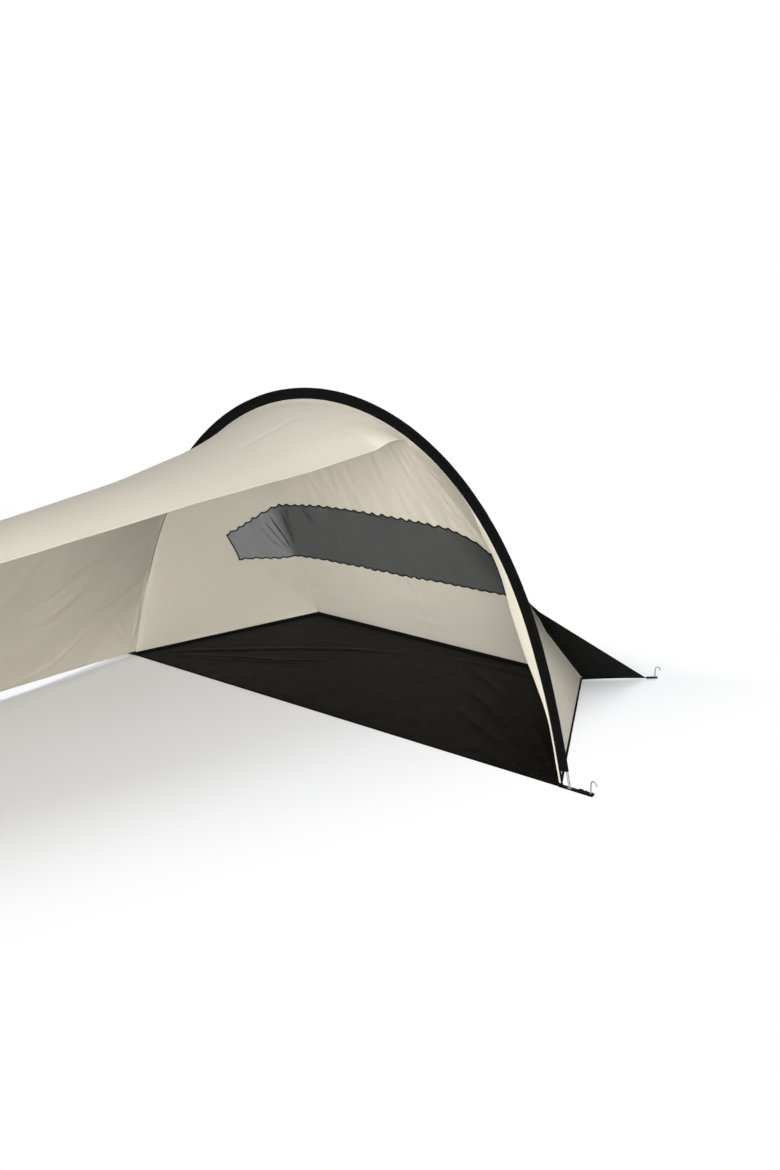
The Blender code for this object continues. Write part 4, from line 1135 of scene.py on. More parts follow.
FACING_TOP = 0.400
FACING_FULL = 0.500            # it has its width beside the window from here on
FACING_WIDENS = (0.54, 0.66)
FACING_TAPERS = (0.70, 0.88)
FACING_WIDTH = 0.047
FACING_UPPER_PART = 0.62       # its width beside the window, as a part of the full one
FACING_END = 0.0025
FACING_LAP = 0.0050            # how far its lower end laps over the sleeve's seam
FACING_CURL = 0.011            # how far its free edge curls back
FACING_EDGE_TAPE = (0.515, 0.607)


class SUNSHADE_OT_facing(bpy.types.Operator):
    """Add the facing along the hoop's right leg, narrow beside the window and wide below it"""
    bl_idname = "sunshade.facing"
    bl_label = "Facing"

    def execute(self, context):
        shell = Shell()
        s = sizes()
        share = np.linspace(FACING_TOP, shell.foot, 160)
        width = self.width(share)
        across = np.linspace(0, 1, 13)
        along = share * shell.half
        lap = FACING_LAP * rise(share, 0.72, 0.86)[:, None]
        inset = s.seam_inset + GAP - lap + (width[:, None] + lap) * across[None, :]
        relief = 0.0016 * lattice(along[:, None], inset * 2, 0.05, 41) * np.sin(np.pi * across / 2)[None, :]
        relief = relief - 0.0012 * (lap / FACING_LAP) * (1 - 0.5 * across[None, :])
        turned = 1 + 1.4 * (1 - rise(share, 0.48, 0.62))
        curl = FACING_CURL * across[None, :] ** 1.3 * (turned * width / FACING_WIDTH)[:, None]
        grid = np.array([[shell.hoop.share(a, inset[i, j], -PANEL_BACK + relief[i, j] + curl[i, j])
                          for j in range(len(across))] for i, a in enumerate(share)])
        strip = thin_sheet("facing_cloth", grid, s.cloth, "sand", outwards=(0, -1, 0))
        cloth_area(grid)
        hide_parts("hoop_facing")
        part = (share > FACING_EDGE_TAPE[0]) & (share < FACING_EDGE_TAPE[1])
        tape_edge = rod("window_end_tape", grid[part, -1] + np.array([-0.0022, 0.0, -0.0005]),
                        np.full(int(part.sum()), 0.0026), "webbing", sides=10)
        edge = [grid[12:-30, -2] + np.array([0, -0.0010, 0])]
        stitch_rows("facing_stitches", edge, "thread_sand", 0.0065, 0.0045, 0.0005)
        return {"FINISHED"}

    def width(self, share):
        lower = FACING_UPPER_PART + (1 - FACING_UPPER_PART) * rise(share, *FACING_WIDENS)
        return FACING_END + FACING_WIDTH * rise(share, FACING_TOP, FACING_FULL) * lower * (
            1 - rise(share, *FACING_TAPERS))


# Pegs and the webbing that holds them

UP = np.array([0, 0, 1.0])
PEG_DEPTH = 0.115
PEG_WIRE = 0.0031
PEG_STEM = 0.052               # above the ground, up to the start of the hook
PEG_HOOK = 0.009
PEG_HOOK_TURN = math.radians(150)
PEG_TAIL = 0.0145
TAB_LENGTH = 0.052
TAB_WIDTH = 0.021
TAB_HOLE_INSET = 0.012         # from the loop's end to its peg
WEBBING_THICK = 0.0030


def wire_peg(name, place, outwards, body):
    """A bent wire peg: point in the ground, hook over the webbing."""
    place, outwards = np.asarray(place, float), np.asarray(outwards, float)
    points = [UP * -PEG_DEPTH, UP * -0.103, UP * -0.06, UP * 0.0, UP * 0.030, UP * 0.045]
    for i in range(21):
        angle = PEG_HOOK_TURN * i / 20
        side, height = PEG_HOOK * (1 - math.cos(angle)), PEG_STEM + PEG_HOOK * math.sin(angle)
        points.append(outwards * side + UP * height)
    tail = unit(points[-1] - points[-2])
    points += [points[-1] + tail * length for length in (0.007, PEG_TAIL - 0.0007, PEG_TAIL)]
    radii = [0.0006] + [PEG_WIRE] * (len(points) - 3) + [0.0029, 0.0020]
    peg = rod(name, [place + p for p in points], radii, "wire", sides=16, body=body)
    return peg


def tab_place(tip, outwards):
    """Where the peg stands in a loop that leaves a corner's tip."""
    centre = np.asarray(tip) + np.asarray(outwards) * (GAP + TAB_LENGTH - TAB_HOLE_INSET)
    return np.array([centre[0], centre[1], 0.0])


def peg_tab(name, node, tip, outwards):
    """A folded webbing loop from a corner down to its peg, with a ring of stitches."""
    tip, outwards = np.asarray(tip, float), np.asarray(outwards, float)
    across = np.array([-outwards[1], outwards[0], 0.0])
    end_height, ring_height, ring_radius = 0.006, 0.0094, 0.0045
    path = []
    for part in np.linspace(0, 1, 26):
        base = tip + outwards * (GAP * 2 + TAB_LENGTH * part)
        base[2] = tip[2] + (end_height - tip[2]) * math.sin(part * math.pi / 2)
        path.append(base)
    strap = webbing_strip(name, path, across, TAB_WIDTH, WEBBING_THICK)
    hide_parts(node)
    hole = tab_place(tip, outwards) + UP * ring_height
    ring = [hole + outwards * a + across * b for a, b in round_points(ring_radius, range(0, 361, 15))]
    stitch_rows(f"{name}_stitches", [ring], "webbing", 0.0022, 0.0022, 0.0004)


FIN_OUT = 0.247                # from the rear corner to the fin's tip, sideways
FIN_BACK = 0.185               # and backwards
FIN_TIP_HEIGHT = 0.005
FIN_OUTER_SHARE = 0.630        # where the fin's outer edge meets the sleeve
FIN_TOP_INSET = 0.014


class SUNSHADE_OT_corner_fins(bpy.types.Operator):
    """Stretch the two black rear fins out to their pegs"""
    bl_idname = "sunshade.corner_fins"
    bl_label = "Corner fins"

    def execute(self, context):
        shell = Shell()
        share, fall = shell_grid(shell)
        column = SEAM_COLUMNS + WINDOW_COLUMNS + BETWEEN_COLUMNS
        for name, side in (("left", -1), ("right", 1)):
            place = share.shape[1] // 2 + side * column
            inner, _ = shell_surface(shell, share[:, place], fall[:, place], 0.0024)
            inner[0, 1] += 0.001
            away = np.array([side * 0.0062, 0.0045, 0.0])
            inner = np.concatenate([inner, [inner[-1] + away * 0.7 - (0, 0, 0.004),
                                            inner[-1] + away - (0, 0, inner[-1][2] - 0.003)]])
            tip = np.array([side * (shell.rear_x + FIN_OUT), shell.depth + FIN_BACK, FIN_TIP_HEIGHT])
            outer_top = shell.hoop.share(side * FIN_OUTER_SHARE, FIN_TOP_INSET, 0.0030)
            runs = path_lengths(inner)
            part = (runs / runs[-1])[:, None]
            over = np.linspace(0, 1, 36)[None, :]
            outer = outer_top + (tip - outer_top) * part ** 1.6
            grid = inner[:, None, :] + (outer - inner)[:, None, :] * over[..., None]
            grid[..., 2] += 0.012 * over * (1 - over) * part ** 3
            u = over * 0.30 * part
            v = part * 1.3
            belly = 0.0035 * lattice(u, v, 0.16, 51 + side)
            belly = belly + 0.0020 * lattice(u * 2.2, v * 0.3, 0.05, 53 + side)
            fade = rise(over, 0, 0.25) * rise(1 - over, 0, 0.1) * rise(1 - part, 0, 0.06) * rise(part, 0, 0.2)
            grid = grid + normals(grid) * (belly * fade)[..., None]
            fin = thin_sheet(f"fin_cloth_{name}", grid, sizes().cloth, "black", outwards=(side, -0.3, 0.2))
            cloth_area(grid)
            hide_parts(f"corner_fin_{name}")
            outwards = unit(np.array([side * FIN_OUT, FIN_BACK, 0.0]))
            peg_tab(f"fin_webbing_{name}", f"fin_loop_{name}", tip, outwards)
            peg = wire_peg(f"fin_wire_peg_{name}", tab_place(tip, outwards), outwards, f"fin_peg_{name}_body")
            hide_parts(f"fin_peg_{name}")
        return {"FINISHED"}


# Paths here are (x, y) points on the groundsheet.

SHEET_CREASES = (
    (((-1.12, 0.03), (-1.019, 0.144), (-0.913, 0.233), (-0.617, 0.459), (-0.33, 0.648), (-0.111, 0.741),
      (0.05, 0.88)), 0.0055, 0.015),
    (((-1.10, 0.03), (-0.862, 0.179), (-0.697, 0.270), (-0.521, 0.344), (-0.25, 0.540)), 0.0042, 0.013),
    (((-0.95, 0.10), (-0.721, 0.215), (-0.515, 0.318), (-0.300, 0.430)), 0.0030, 0.012),
    (((1.150, 0.020), (0.998, 0.119), (0.717, 0.339), (0.441, 0.541), (0.164, 0.796)), 0.0075, 0.015),
    (((1.130, 0.012), (0.876, 0.133), (0.618, 0.270), (0.400, 0.420)), 0.0055, 0.014),
    (((1.120, 0.030), (0.829, 0.272), (0.538, 0.486), (0.350, 0.560)), 0.0055, 0.012),
    (((1.120, 0.090), (0.816, 0.408), (0.517, 0.636), (0.214, 0.831), (0.08, 0.86)), 0.0070, 0.016),
    (((0.620, 0.870), (0.355, 0.865), (0.150, 0.840)), 0.0040, 0.014),
    (((1.100, 0.004), (0.850, 0.050), (0.600, 0.110)), 0.0032, 0.012),
)


class SUNSHADE_OT_groundsheet(bpy.types.Operator):
    """Lay the creased black groundsheet and its edge tapes"""
    bl_idname = "sunshade.groundsheet"
    bl_label = "Groundsheet"
    FRONT = 0.0055             # the front edge tape covers the rest
    HEM_GAP = 0.0023           # left to the rear hem
    SIDE_GAP = 0.0025          # and to the side hems

    def execute(self, context):
        s = sizes()
        corner = s.pole_span / 2 - s.corner_inset
        slant = (corner - s.rear_width / 2) / s.ground_depth
        back = s.ground_depth - self.HEM_GAP
        y = np.linspace(self.FRONT, back, 100)[:, None]
        half = corner - y * slant - self.SIDE_GAP
        x = half * np.linspace(-1, 1, 250)[None, :]
        y = np.broadcast_to(y, x.shape)
        edge = np.minimum(half - np.abs(x), np.minimum(y - self.FRONT, back - y))
        z = 0.0016 + self.relief(x, y) * rise(edge, 0, 0.05)
        grid = np.stack([x, y, z], -1)
        sheet = thin_sheet("groundsheet_cloth", grid, 0.0012, "sheet", uv=np.stack([x, y], -1))
        cloth_area(grid)
        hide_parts("groundsheet")
        reach = np.linspace(-corner + 0.0008, corner - 0.0008, 160)
        path = [(x, -0.0010, 0.0) for x in reach]
        front = webbing_strip("front_edge_tape", path, (0, 1, 0), 0.012, WEBBING_THICK)
        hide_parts("groundsheet_front_tape")
        dress(["rear_hem"], "webbing")
        for name, side in (("left", -1), ("right", 1)):
            rear_corner = np.array([side * s.rear_width / 2, s.ground_depth])
            self.side_hem(name, side, np.array([side * corner, 0.0]), rear_corner)
        return {"FINISHED"}

    def side_hem(self, name, side, start, end):
        """A plump folded tape along the foot of a side wall."""
        run = end - start
        length = np.linalg.norm(run)
        run = run / length
        out = np.array([run[1], -run[0], 0.0]) * side
        rings = []
        for at in np.linspace(0.004, length - 0.0005, 70):
            centre = np.array([*(start + run * at), 0.0072]) + out * 0.0030
            wide = 0.0050 * (1 + 0.10 * float(lattice(at, side, 0.05, 65)))
            rings.append([centre + out * (squared(c, 0.6) * wide) + UP * (squared(n, 0.6) * 0.0064)
                          for c, n in round_points(1.0, range(0, 360, 24))])
        hem = loft(f"side_hem_tape_{name}", rings, "webbing")
        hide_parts(f"side_hem_{name}")

    def relief(self, x, y):
        """Low creases that run out of the front corners, and soft waves between them."""
        height = 0.0012 + 0.0012 * lattice(x, y, 0.16, 61) + 0.0006 * lattice(x, y, 0.06, 62)
        return np.maximum(creased(height, x, y, SHEET_CREASES), 0.0)


class SUNSHADE_OT_corner_webbing(bpy.types.Operator):
    """Fit the webbing and peg at each foot of the hoop"""
    bl_idname = "sunshade.corner_webbing"
    bl_label = "Corner webbing"
    REACH = 0.097              # past the pole's foot
    WIDTH = 0.025
    FOLD = 0.064               # length of the part that is doubled
    PEG_INSET = 0.012
    RISER_INSET = 0.006        # from the sleeve's seam to the riser's middle

    def execute(self, context):
        s = sizes()
        hoop = Hoop()
        corner = s.pole_span / 2 - s.corner_inset
        end = s.pole_span / 2 + self.REACH
        for name, side in (("left", -1), ("right", 1)):
            path = [(side * x, 0.0, 0.0015) for x in np.linspace(corner - 0.0004, end, 60)]
            strap = webbing_strip(f"strap_webbing_{name}", path, (0, 1, 0), self.WIDTH, WEBBING_THICK)
            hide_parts(f"corner_strap_{name}")
            self.fold(name, side, end)
            share = side * hoop.share_at(0.0046, s.seam_inset)
            top = side * hoop.share_at(s.sleeve_end, 0.0)
            path = [hoop.share(a, s.seam_inset - self.RISER_INSET, 0.0) for a in np.linspace(share, top, 30)]
            riser = self.riser(f"riser_webbing_{name}", path)
            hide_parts(f"sleeve_riser_{name}")
            peg = wire_peg(f"corner_wire_peg_{name}", (side * (end - self.PEG_INSET), 0, 0), (side, 0, 0),
                           f"corner_peg_{name}_body")
            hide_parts(f"corner_peg_{name}")
        return {"FINISHED"}

    def fold(self, name, side, end):
        """The strap's doubled end, humped where it folds, with a box of stitches across it."""
        fold = np.linspace(end - self.FOLD, end - 0.003, 30)
        hump = 0.0022 * np.exp(-((fold - fold[0] - 0.012) / 0.007) ** 2) + 0.0008 * np.sin(fold * 260)
        path = [(side * x, 0.0, 0.0046 + z) for x, z in zip(fold, hump)]
        second = webbing_strip(f"strap_fold_{name}", path, (0, 1, 0), 0.0245, 0.0034)
        near, far, half = side * (end - 0.060), side * (end - 0.030), 0.009
        box = [(near, -half), (far, -half), (far, half), (near, half), (near, -half), (far, half)]
        path = [np.array([a, b, 0.0088]) for a, b in box]
        dense = np.concatenate([np.linspace(p, q, 12) for p, q in zip(path, path[1:])])
        stitch_rows(f"strap_stitches_{name}", [dense], "webbing", 0.003, 0.0026, 0.0004)

    def riser(self, name, path):
        """An upright webbing tape in the hoop's plane."""
        path = np.asarray(path)
        back = np.array([0, 1.0, 0])
        rings = []
        for point, tangent in zip(path, np.gradient(path, axis=0)):
            across = np.cross(unit(tangent), back)
            rings.append([point + across * (squared(c, 0.35) * 0.006) + back * (n * 0.0012)
                          for c, n in round_points(1.0, range(0, 360, 24))])
        return loft(name, rings, "webbing")


# The awning

AWNING_TOP_SHARE = 0.230       # where the front edge leaves the hoop
AWNING_LOW = 0.022             # height of the sheet's lowest point at the hoop
AWNING_RUN = 3.05              # rough length of the sheet away from the hoop
AWNING_DROP = 2.25             # and along the hoop, from the front edge down
AWNING_NARROWS = 0.45          # how much shorter that is at the outer end
UPRIGHT_X = -0.100
PEG_CORNER = (-1.420, -2.300, 0.030)
PEG_HEADING = math.radians(-143)
HOLLOW = 1.764                 # how fast the hoop's curve goes over into its chord
ROOF_BULGE = 0.124
FOOT_LIFT = 0.029              # rise of the lower edge in its middle
EDGE_SAG = 0.009               # of the front edge
EDGE_DRAW = 0.013              # how far the front edge is drawn to the left
FRONT_LIFT = 0.0125            # of the front edge's wave beside the hoop
FRONT_DIP = 0.0095


class Awning:
    """The sheet from the hoop to the upright and the far peg."""

    def __init__(self):
        s = sizes()
        self.hoop = Hoop()
        self.inset = s.seam_inset + PANEL_GAP
        self.foot = -self.hoop.share_at(AWNING_LOW, s.seam_inset)
        self.far = np.array([UPRIGHT_X, -s.awning_reach, s.awning_height])
        self.peg = np.array(PEG_CORNER)

    def at(self, reach, down):
        """Reach runs from the hoop to the end; down from the front edge to the ground."""
        share = AWNING_TOP_SHARE + (self.foot - AWNING_TOP_SHARE) * down
        near = self.hoop.share(share, self.inset, -PANEL_BACK)
        table = self.hoop.share(np.linspace(AWNING_TOP_SHARE, self.foot, 401), self.inset, -PANEL_BACK)
        runs = path_lengths(table)
        part = np.interp(down, np.linspace(0, 1, 401), runs / runs[-1])
        chord = table[0] + (table[-1] - table[0]) * part[..., None]
        far = self.far + (self.peg - self.far) * (down ** 2)[..., None]
        hollow = HOLLOW * reach * (1 - reach) ** 2
        bulge = 4 * reach * (1 - reach)
        point = near + (far - near) * reach[..., None] + (chord - near) * hollow[..., None]
        front = (1 - down) ** 3
        rise_between = FOOT_LIFT * down ** 6 + ROOF_BULGE * 4 * down * (1 - down)
        point[..., 2] += bulge * (rise_between - EDGE_SAG * front)
        point[..., 0] -= EDGE_DRAW * front * bulge
        return point

    def width(self, reach):
        """Rough distance from the front edge down to the lower one."""
        return AWNING_DROP - AWNING_NARROWS * reach

    def lengths(self, reach, down):
        """Rough distances over the sheet: away from the hoop, and down from the front edge."""
        return reach * AWNING_RUN, down * self.width(reach)


# Paths here are distances in metres: away from the hoop, and down from the front edge.

WALL_CREASES = (
    (((-0.03, 1.918), (0.116, 1.911), (0.196, 1.887), (0.281, 1.890), (0.355, 1.877), (0.452, 1.842),
      (0.538, 1.825), (0.642, 1.838), (0.740, 1.838), (0.862, 1.820), (0.978, 1.789), (1.30, 1.72),
      (1.80, 1.66)), -0.0036, 0.0085),
    (((0.36, 1.955), (0.416, 1.975), (0.465, 1.994), (0.513, 2.024), (0.568, 2.049), (0.617, 2.078),
      (0.727, 2.094), (0.850, 2.102), (1.20, 2.080), (1.70, 1.960)), -0.0048, 0.011),
    (((0.373, 1.660), (0.495, 1.670), (0.581, 1.709), (0.666, 1.738), (0.752, 1.766), (0.843, 1.764),
      (0.929, 1.748), (1.30, 1.640), (1.80, 1.58)), -0.0050, 0.026),
    (((0.470, 1.600), (0.611, 1.615), (0.703, 1.630), (0.795, 1.660), (0.941, 1.675), (1.30, 1.560)),
     0.0036, 0.022),
    (((0.600, 1.945), (0.703, 1.953), (0.770, 1.947), (0.905, 1.938), (1.25, 1.880), (1.70, 1.780)),
     -0.0034, 0.010),
    (((0.40, 1.560), (0.617, 1.565), (0.733, 1.581), (0.843, 1.608), (1.20, 1.500)), 0.0022, 0.016),
    (((0.90, 1.250), (0.96, 1.309), (1.009, 1.393), (1.033, 1.508), (1.20, 1.60)), -0.0020, 0.030),
    (((0.030, 1.960), (0.026, 2.040), (0.030, 2.120), (0.045, 2.200)), -0.0030, 0.009),
)

ROOF_CREASES = (
    (((0.640, 0.330), (0.568, 0.339), (0.397, 0.365), (0.226, 0.389), (0.073, 0.387)), -0.0022, 0.014),
    (((0.320, 0.175), (0.269, 0.186), (0.128, 0.212), (0.030, 0.226)), -0.0020, 0.014),
    (((0.300, 0.070), (0.232, 0.083), (0.043, 0.132)), -0.0016, 0.013),
    (((0.400, 0.520), (0.269, 0.546), (0.080, 0.600)), 0.0016, 0.018),
)


# Each corner is its place as above, the seed of the rays that run out of it, and their height.

AWNING_CORNERS = ((AWNING_RUN, 0.0, 77, 0.006), (AWNING_RUN, AWNING_DROP - AWNING_NARROWS, 78, 0.006),
                  (0.0, AWNING_DROP, 79, 0.0010), (0.0, 0.0, 80, 0.0008))

# Outline of a folded tape: distance in from the edge, height off the cloth.

TAPE_FOLD = ((0.0130, 0.0008), (0.0128, 0.0017), (0.0060, 0.0019), (0.0, 0.0019), (-0.0022, 0.0015),
             (-0.0032, 0.0), (-0.0022, -0.0015), (0.0, -0.0019), (0.0060, -0.0019), (0.0128, -0.0017),
             (0.0130, -0.0008))


def front_wave(reach):
    """The front edge lifts just outside the hoop, then dips below its straight line."""
    lift = FRONT_LIFT * np.exp(-((reach - 0.028) / 0.017) ** 2)
    dip = FRONT_DIP * rise(reach, 0.038, 0.056) * (1 - rise(reach, 0.10, 0.33))
    return lift - dip


def awning_relief(awning, reach, down):
    """How far the cloth stands off its ruled surface, outwards, in metres."""
    out, below = awning.lengths(reach, down)
    width = awning.width(reach)
    broad = 0.0050 * lattice(out, below, 0.55, 71) + 0.0020 * lattice(out, below, 0.24, 72)
    slanted = 0.0015 * lattice(below - 0.15 * out, out * 0.11 + below * 0.05, 0.038, 73)
    slanted = slanted + 0.0022 * lattice(below - 0.12 * out, out * 0.16, 0.11, 81)
    seam = 0.0009 * np.exp(-(out / 0.15) ** 2) * lattice(out * 0.25, below + 0.3 * out, 0.045, 74)
    hem = np.exp(-((width - below) / 0.16) ** 2)
    edge = 0.0012 * hem * lattice(out, (width - below) * 0.25, 0.085, 75)
    front = 0.0010 * np.exp(-(below / 0.10) ** 2) * lattice(out, below * 0.3, 0.12, 76)
    relief = broad + slanted * rise(down, 0.45, 0.75) + seam + edge + front
    for corner_out, corner_below, seed, height in AWNING_CORNERS:
        away = np.hypot(out - corner_out, below - corner_below)
        angle = np.arctan2(below - corner_below, out - corner_out)
        rays = lattice(angle * 2.0, away * 0.12, 0.22, seed)
        relief = relief + height * rays * rise(away, 0.02, 0.2) * np.exp(-(away / 0.55) ** 2)
    relief = creased(relief, out, below, WALL_CREASES + ROOF_CREASES)
    relief = relief * (1 - 0.5 * np.exp(-((width - below) / 0.03) ** 2))
    relief = relief * rise(out, 0, 0.03) * rise(AWNING_RUN - out, 0, 0.03)
    return relief + front_wave(reach) * np.exp(-(below / 0.085) ** 2)


def awning_surface(awning, reach, down, lift=0.0):
    """Points of the wrinkled awning, lifted outwards by this much, and its normals."""
    grid = awning.at(reach, down)
    step = 0.002
    across = awning.at(reach, np.clip(down + step, 0, 1)) - awning.at(reach, np.clip(down - step, 0, 1))
    outward = awning.at(np.clip(reach + step, 0, 1), down) - awning.at(np.clip(reach - step, 0, 1), down)
    n = np.cross(outward, across)
    n = n / np.maximum(np.linalg.norm(n, axis=-1, keepdims=True), 1e-12)
    if float(np.mean(n[..., 2] - n[..., 0])) < 0:
        n = -n
    return grid + n * (awning_relief(awning, reach, down) + lift)[..., None], n


class SUNSHADE_OT_awning(bpy.types.Operator):
    """Hang the awning from the hoop to its upright and far peg, and bind its edges"""
    bl_idname = "sunshade.awning"
    bl_label = "Awning"
    ROWS, COLUMNS = 240, 190
    PATCH = 0.16               # the doubled corners' size along both edges

    def execute(self, context):
        awning = Awning()
        down, reach = np.meshgrid(np.linspace(0, 1, self.COLUMNS), np.linspace(0, 1, self.ROWS) ** 1.15)
        grid, _ = awning_surface(awning, reach, down)
        out, below = awning.lengths(reach, down)
        sheet = thin_sheet("awning_cloth", grid, sizes().cloth, "sand", uv=np.stack([below, out], -1),
                           outwards=(-1, 0, 1))
        cloth_area(awning.at(reach, down))
        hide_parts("awning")
        self.edge(awning, "front", np.linspace(0.02, 0.98, 160), 0.0)
        self.edge(awning, "side", np.linspace(0.03, 0.97, 160), 1.0)
        down = np.linspace(0.05, 0.95, 140)
        self.binding(awning, "end", 0.002 * AWNING_RUN,
                     lambda over: (np.clip(1 - over / AWNING_RUN + down * 0, 0, 1), down))
        self.patches(awning)
        outwards = np.array([math.cos(PEG_HEADING), math.sin(PEG_HEADING), 0.0])
        peg_tab("awning_webbing_loop", "awning_peg_loop", awning.peg, outwards)
        peg = wire_peg("awning_wire_peg", tab_place(awning.peg, outwards), outwards, "awning_peg_body")
        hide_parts("awning_peg")
        dress(["awning_corner_tab"], "webbing")
        return {"FINISHED"}

    def edge(self, awning, name, reach, side):
        """Tape and two rows of stitches on both faces, along the front (side 0) or lower edge (side 1)."""
        def spot(over):
            return reach, np.clip(side - (1 if side else -1) * over / awning.width(reach), 0, 1)

        self.binding(awning, name, 0.004, spot)
        rows = []
        for over in (0.0035, 0.0105):
            points, n = awning_surface(awning, *spot(over))
            rows += [points + n * 0.0021, points - n * 0.0021]
        stitch_rows(f"awning_{name}_stitches", rows, "thread_sand", 0.0070, 0.0050, 0.0006)

    def binding(self, awning, name, inner, spot):
        """A tape folded round an edge; spot gives the reach and down of a distance in from the edge."""
        rings = []
        for over, lift in TAPE_FOLD:
            points, n = awning_surface(awning, *spot(over))
            if over < 0:
                away = points - awning_surface(awning, *spot(inner))[0]
                points = points - away / np.linalg.norm(away, axis=-1, keepdims=True) * over
            rings.append(points + n * lift)
        band = loft(f"awning_{name}_tape", list(np.array(rings).transpose(1, 0, 2)), "tape_sand", sharp=60)
        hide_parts(f"awning_{name}_binding")

    def patches(self, awning):
        """Doubled cloth at the two outer corners, cut off across the corner."""
        steps = np.linspace(0, 1, 30) * self.PATCH
        over, away = np.meshgrid(steps, steps)
        keep = (over + away)[:-1, :-1] < self.PATCH + 0.005
        reach = 0.9955 - away / AWNING_RUN
        part = over / (AWNING_DROP - AWNING_NARROWS)
        for name, down in (("upright", 0.008 + part), ("peg", 0.992 - part)):
            points, _ = awning_surface(awning, reach, down, 0.0014)
            patch = thin_sheet(f"awning_{name}_patch", points, 0.0010, "sand", keep, outwards=(-1, 0, 1))


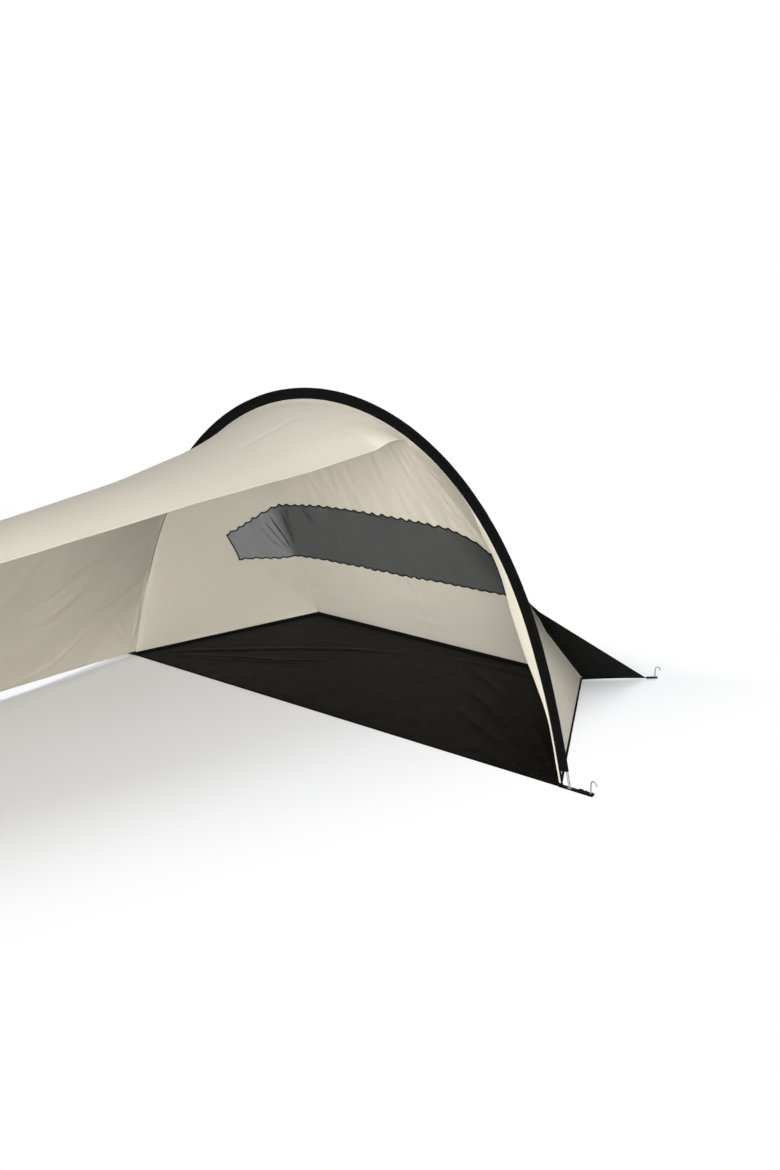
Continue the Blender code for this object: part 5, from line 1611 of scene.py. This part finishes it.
class SUNSHADE_OT_stage(bpy.types.Operator):
    """Set the pale floor, the soft lights and the camera"""
    bl_idname = "sunshade.stage"
    bl_label = "Stage"
    FLOOR_HALF = 30.0
    LAMPS = (("front", 24, 12, 35), ("side", 50, 6, 30), ("high", 40, 60, 50), ("back", 180, 25, 40))
    CAMERA_PLACE = (2.833, -3.549, 2.130)
    CAMERA_TILT = math.radians(71.2)
    CAMERA_HEADING = math.radians(34.8)

    def execute(self, context):
        stage = context.scene.sunshade_stage
        self.floor()
        self.sky(stage.sky)
        for name, heading, height, spread in self.LAMPS:
            self.lamp(f"{name}_light", getattr(stage, name), heading, height, spread)
        camera = bpy.data.cameras.new("camera")
        camera.sensor_fit = "VERTICAL"
        camera.sensor_height = 36.0
        camera.lens = stage.lens
        camera.clip_end = 200.0
        view = in_scene("camera", camera)
        view.location = self.CAMERA_PLACE
        view.rotation_euler = (self.CAMERA_TILT, 0.0, self.CAMERA_HEADING)
        context.scene.camera = view
        context.scene.view_settings.view_transform = "Standard"
        return {"FINISHED"}

    def floor(self):
        """A white floor that fades to plain white away from the object and keeps most of its shadow near it;
        the fade to the right also lifts the shade beside the right fin, a painted lit strip runs along outside
        the awning's left hem, and the camera sees the floor tinted blue against the warm light that the cloth
        bounces onto it.
        """
        finish = Finish("floor_white", (0.95, 0.96, 0.98), 0.9, gloss=0.0)
        seen = finish.seen()
        # Seen by the camera the floor is tinted blue, a colour that cancels the warm light bounced onto it
        # from the cloth, so its shade reads grey.
        finish.set("Base Color", finish.blend(seen, (0.86, 0.86, 0.86), (0.925, 0.945, 0.985)))
        finish.set("Emission Color", finish.blend(seen, (0.0, 0.0, 0.0), (0.045, 0.045, 0.045)))
        finish.set("Emission Strength", 1.0)
        x, y, _ = finish.split(finish.place())
        # Towards the right the floor glows plain white, which also lifts the object's shadow beside the right
        # fin: painted light.
        right = finish.fade(x - y * 0.45, 0.05, 1.15)
        behind = finish.fade(y, 0.95, 1.50)
        before = finish.fade(y, -1.5, -2.5)
        near_foot = (y * 0.09 + 0.05).most(0.0)
        # Outside the awning's left hem a painted lit strip with a crisp edge takes the place of the shadow
        # that falls there.
        left = finish.fade(y * 0.119 - x - 1.147 - near_foot, 0.010, 0.035) * 0.85
        plain = right.most(behind).most(before).most(left) * seen
        white = finish.add("ShaderNodeEmission", None, (1.0, 1.0, 1.0, 1.0), 1.0)
        shaded = Term(finish, finish.shader.outputs[0])
        mixed = finish.add("ShaderNodeMixShader", None, plain, shaded, white)
        finish.put(finish.tree.nodes["Material Output"].inputs["Surface"], mixed)
        mesh = bpy.data.meshes.new("floor")
        r = self.FLOOR_HALF
        mesh.from_pydata([(-r, -r, 0), (r, -r, 0), (r, r, 0), (-r, r, 0)], [], [(0, 1, 2, 3)])
        mesh.materials.append(finish.material)
        in_scene("floor", mesh)

    def sky(self, strength):
        """Even light from all round, in front of a background that is seen as plain white."""
        world = bpy.data.worlds.new("studio")
        world.use_nodes = True
        nodes = Nodes(world.node_tree)
        shade = nodes.tree.nodes["Background"]
        level = nodes.add("ShaderNodeMapRange", Value=nodes.seen(), To_Min=strength, To_Max=1.0)
        nodes.put(shade.inputs["Strength"], level)
        nodes.put(shade.inputs["Color"], (1, 1, 1, 1))
        bpy.context.scene.world = world

    def lamp(self, name, strength, heading, height, spread):
        """A distant lamp: degrees round from the front towards the right, degrees up, degrees wide."""
        light = bpy.data.lights.new(name, "SUN")
        light.energy = strength
        light.angle = math.radians(spread)
        in_scene(name, light).rotation_euler = (math.radians(90 - height), 0.0, math.radians(heading))


PIECES = (SUNSHADE_OT_poles, SUNSHADE_OT_sleeve, SUNSHADE_OT_rear_canopy, SUNSHADE_OT_window,
          SUNSHADE_OT_facing, SUNSHADE_OT_corner_fins, SUNSHADE_OT_groundsheet,
          SUNSHADE_OT_corner_webbing, SUNSHADE_OT_awning, SUNSHADE_OT_stage)


class SUNSHADE_PT_panel(bpy.types.Panel):
    bl_label = "Sunshade"
    bl_idname = "SUNSHADE_PT_panel"
    bl_space_type = "VIEW_3D"
    bl_region_type = "UI"
    bl_category = "Sunshade"

    def draw(self, context):
        scene = context.scene
        for group in (scene.sunshade_sizes, scene.sunshade_colours, scene.sunshade_stage):
            box = self.layout.box()
            for name in group.__annotations__:
                box.prop(group, name)
        for piece in PIECES:
            self.layout.operator(piece.bl_idname)


GROUPS = (SunshadeSizes, SunshadeColours, SunshadeStage)


def register():
    for part in GROUPS + PIECES + (SUNSHADE_PT_panel,):
        bpy.utils.register_class(part)
    bpy.types.Scene.sunshade_sizes = PointerProperty(type=SunshadeSizes)
    bpy.types.Scene.sunshade_colours = PointerProperty(type=SunshadeColours)
    bpy.types.Scene.sunshade_stage = PointerProperty(type=SunshadeStage)


def unregister():
    del bpy.types.Scene.sunshade_stage
    del bpy.types.Scene.sunshade_colours
    del bpy.types.Scene.sunshade_sizes
    for part in reversed(GROUPS + PIECES + (SUNSHADE_PT_panel,)):
        bpy.utils.unregister_class(part)


def main():
    register()
    for piece in PIECES:
        group, name = piece.bl_idname.split(".")
        getattr(getattr(bpy.ops, group), name)()


if __name__ == "__main__":
    main()
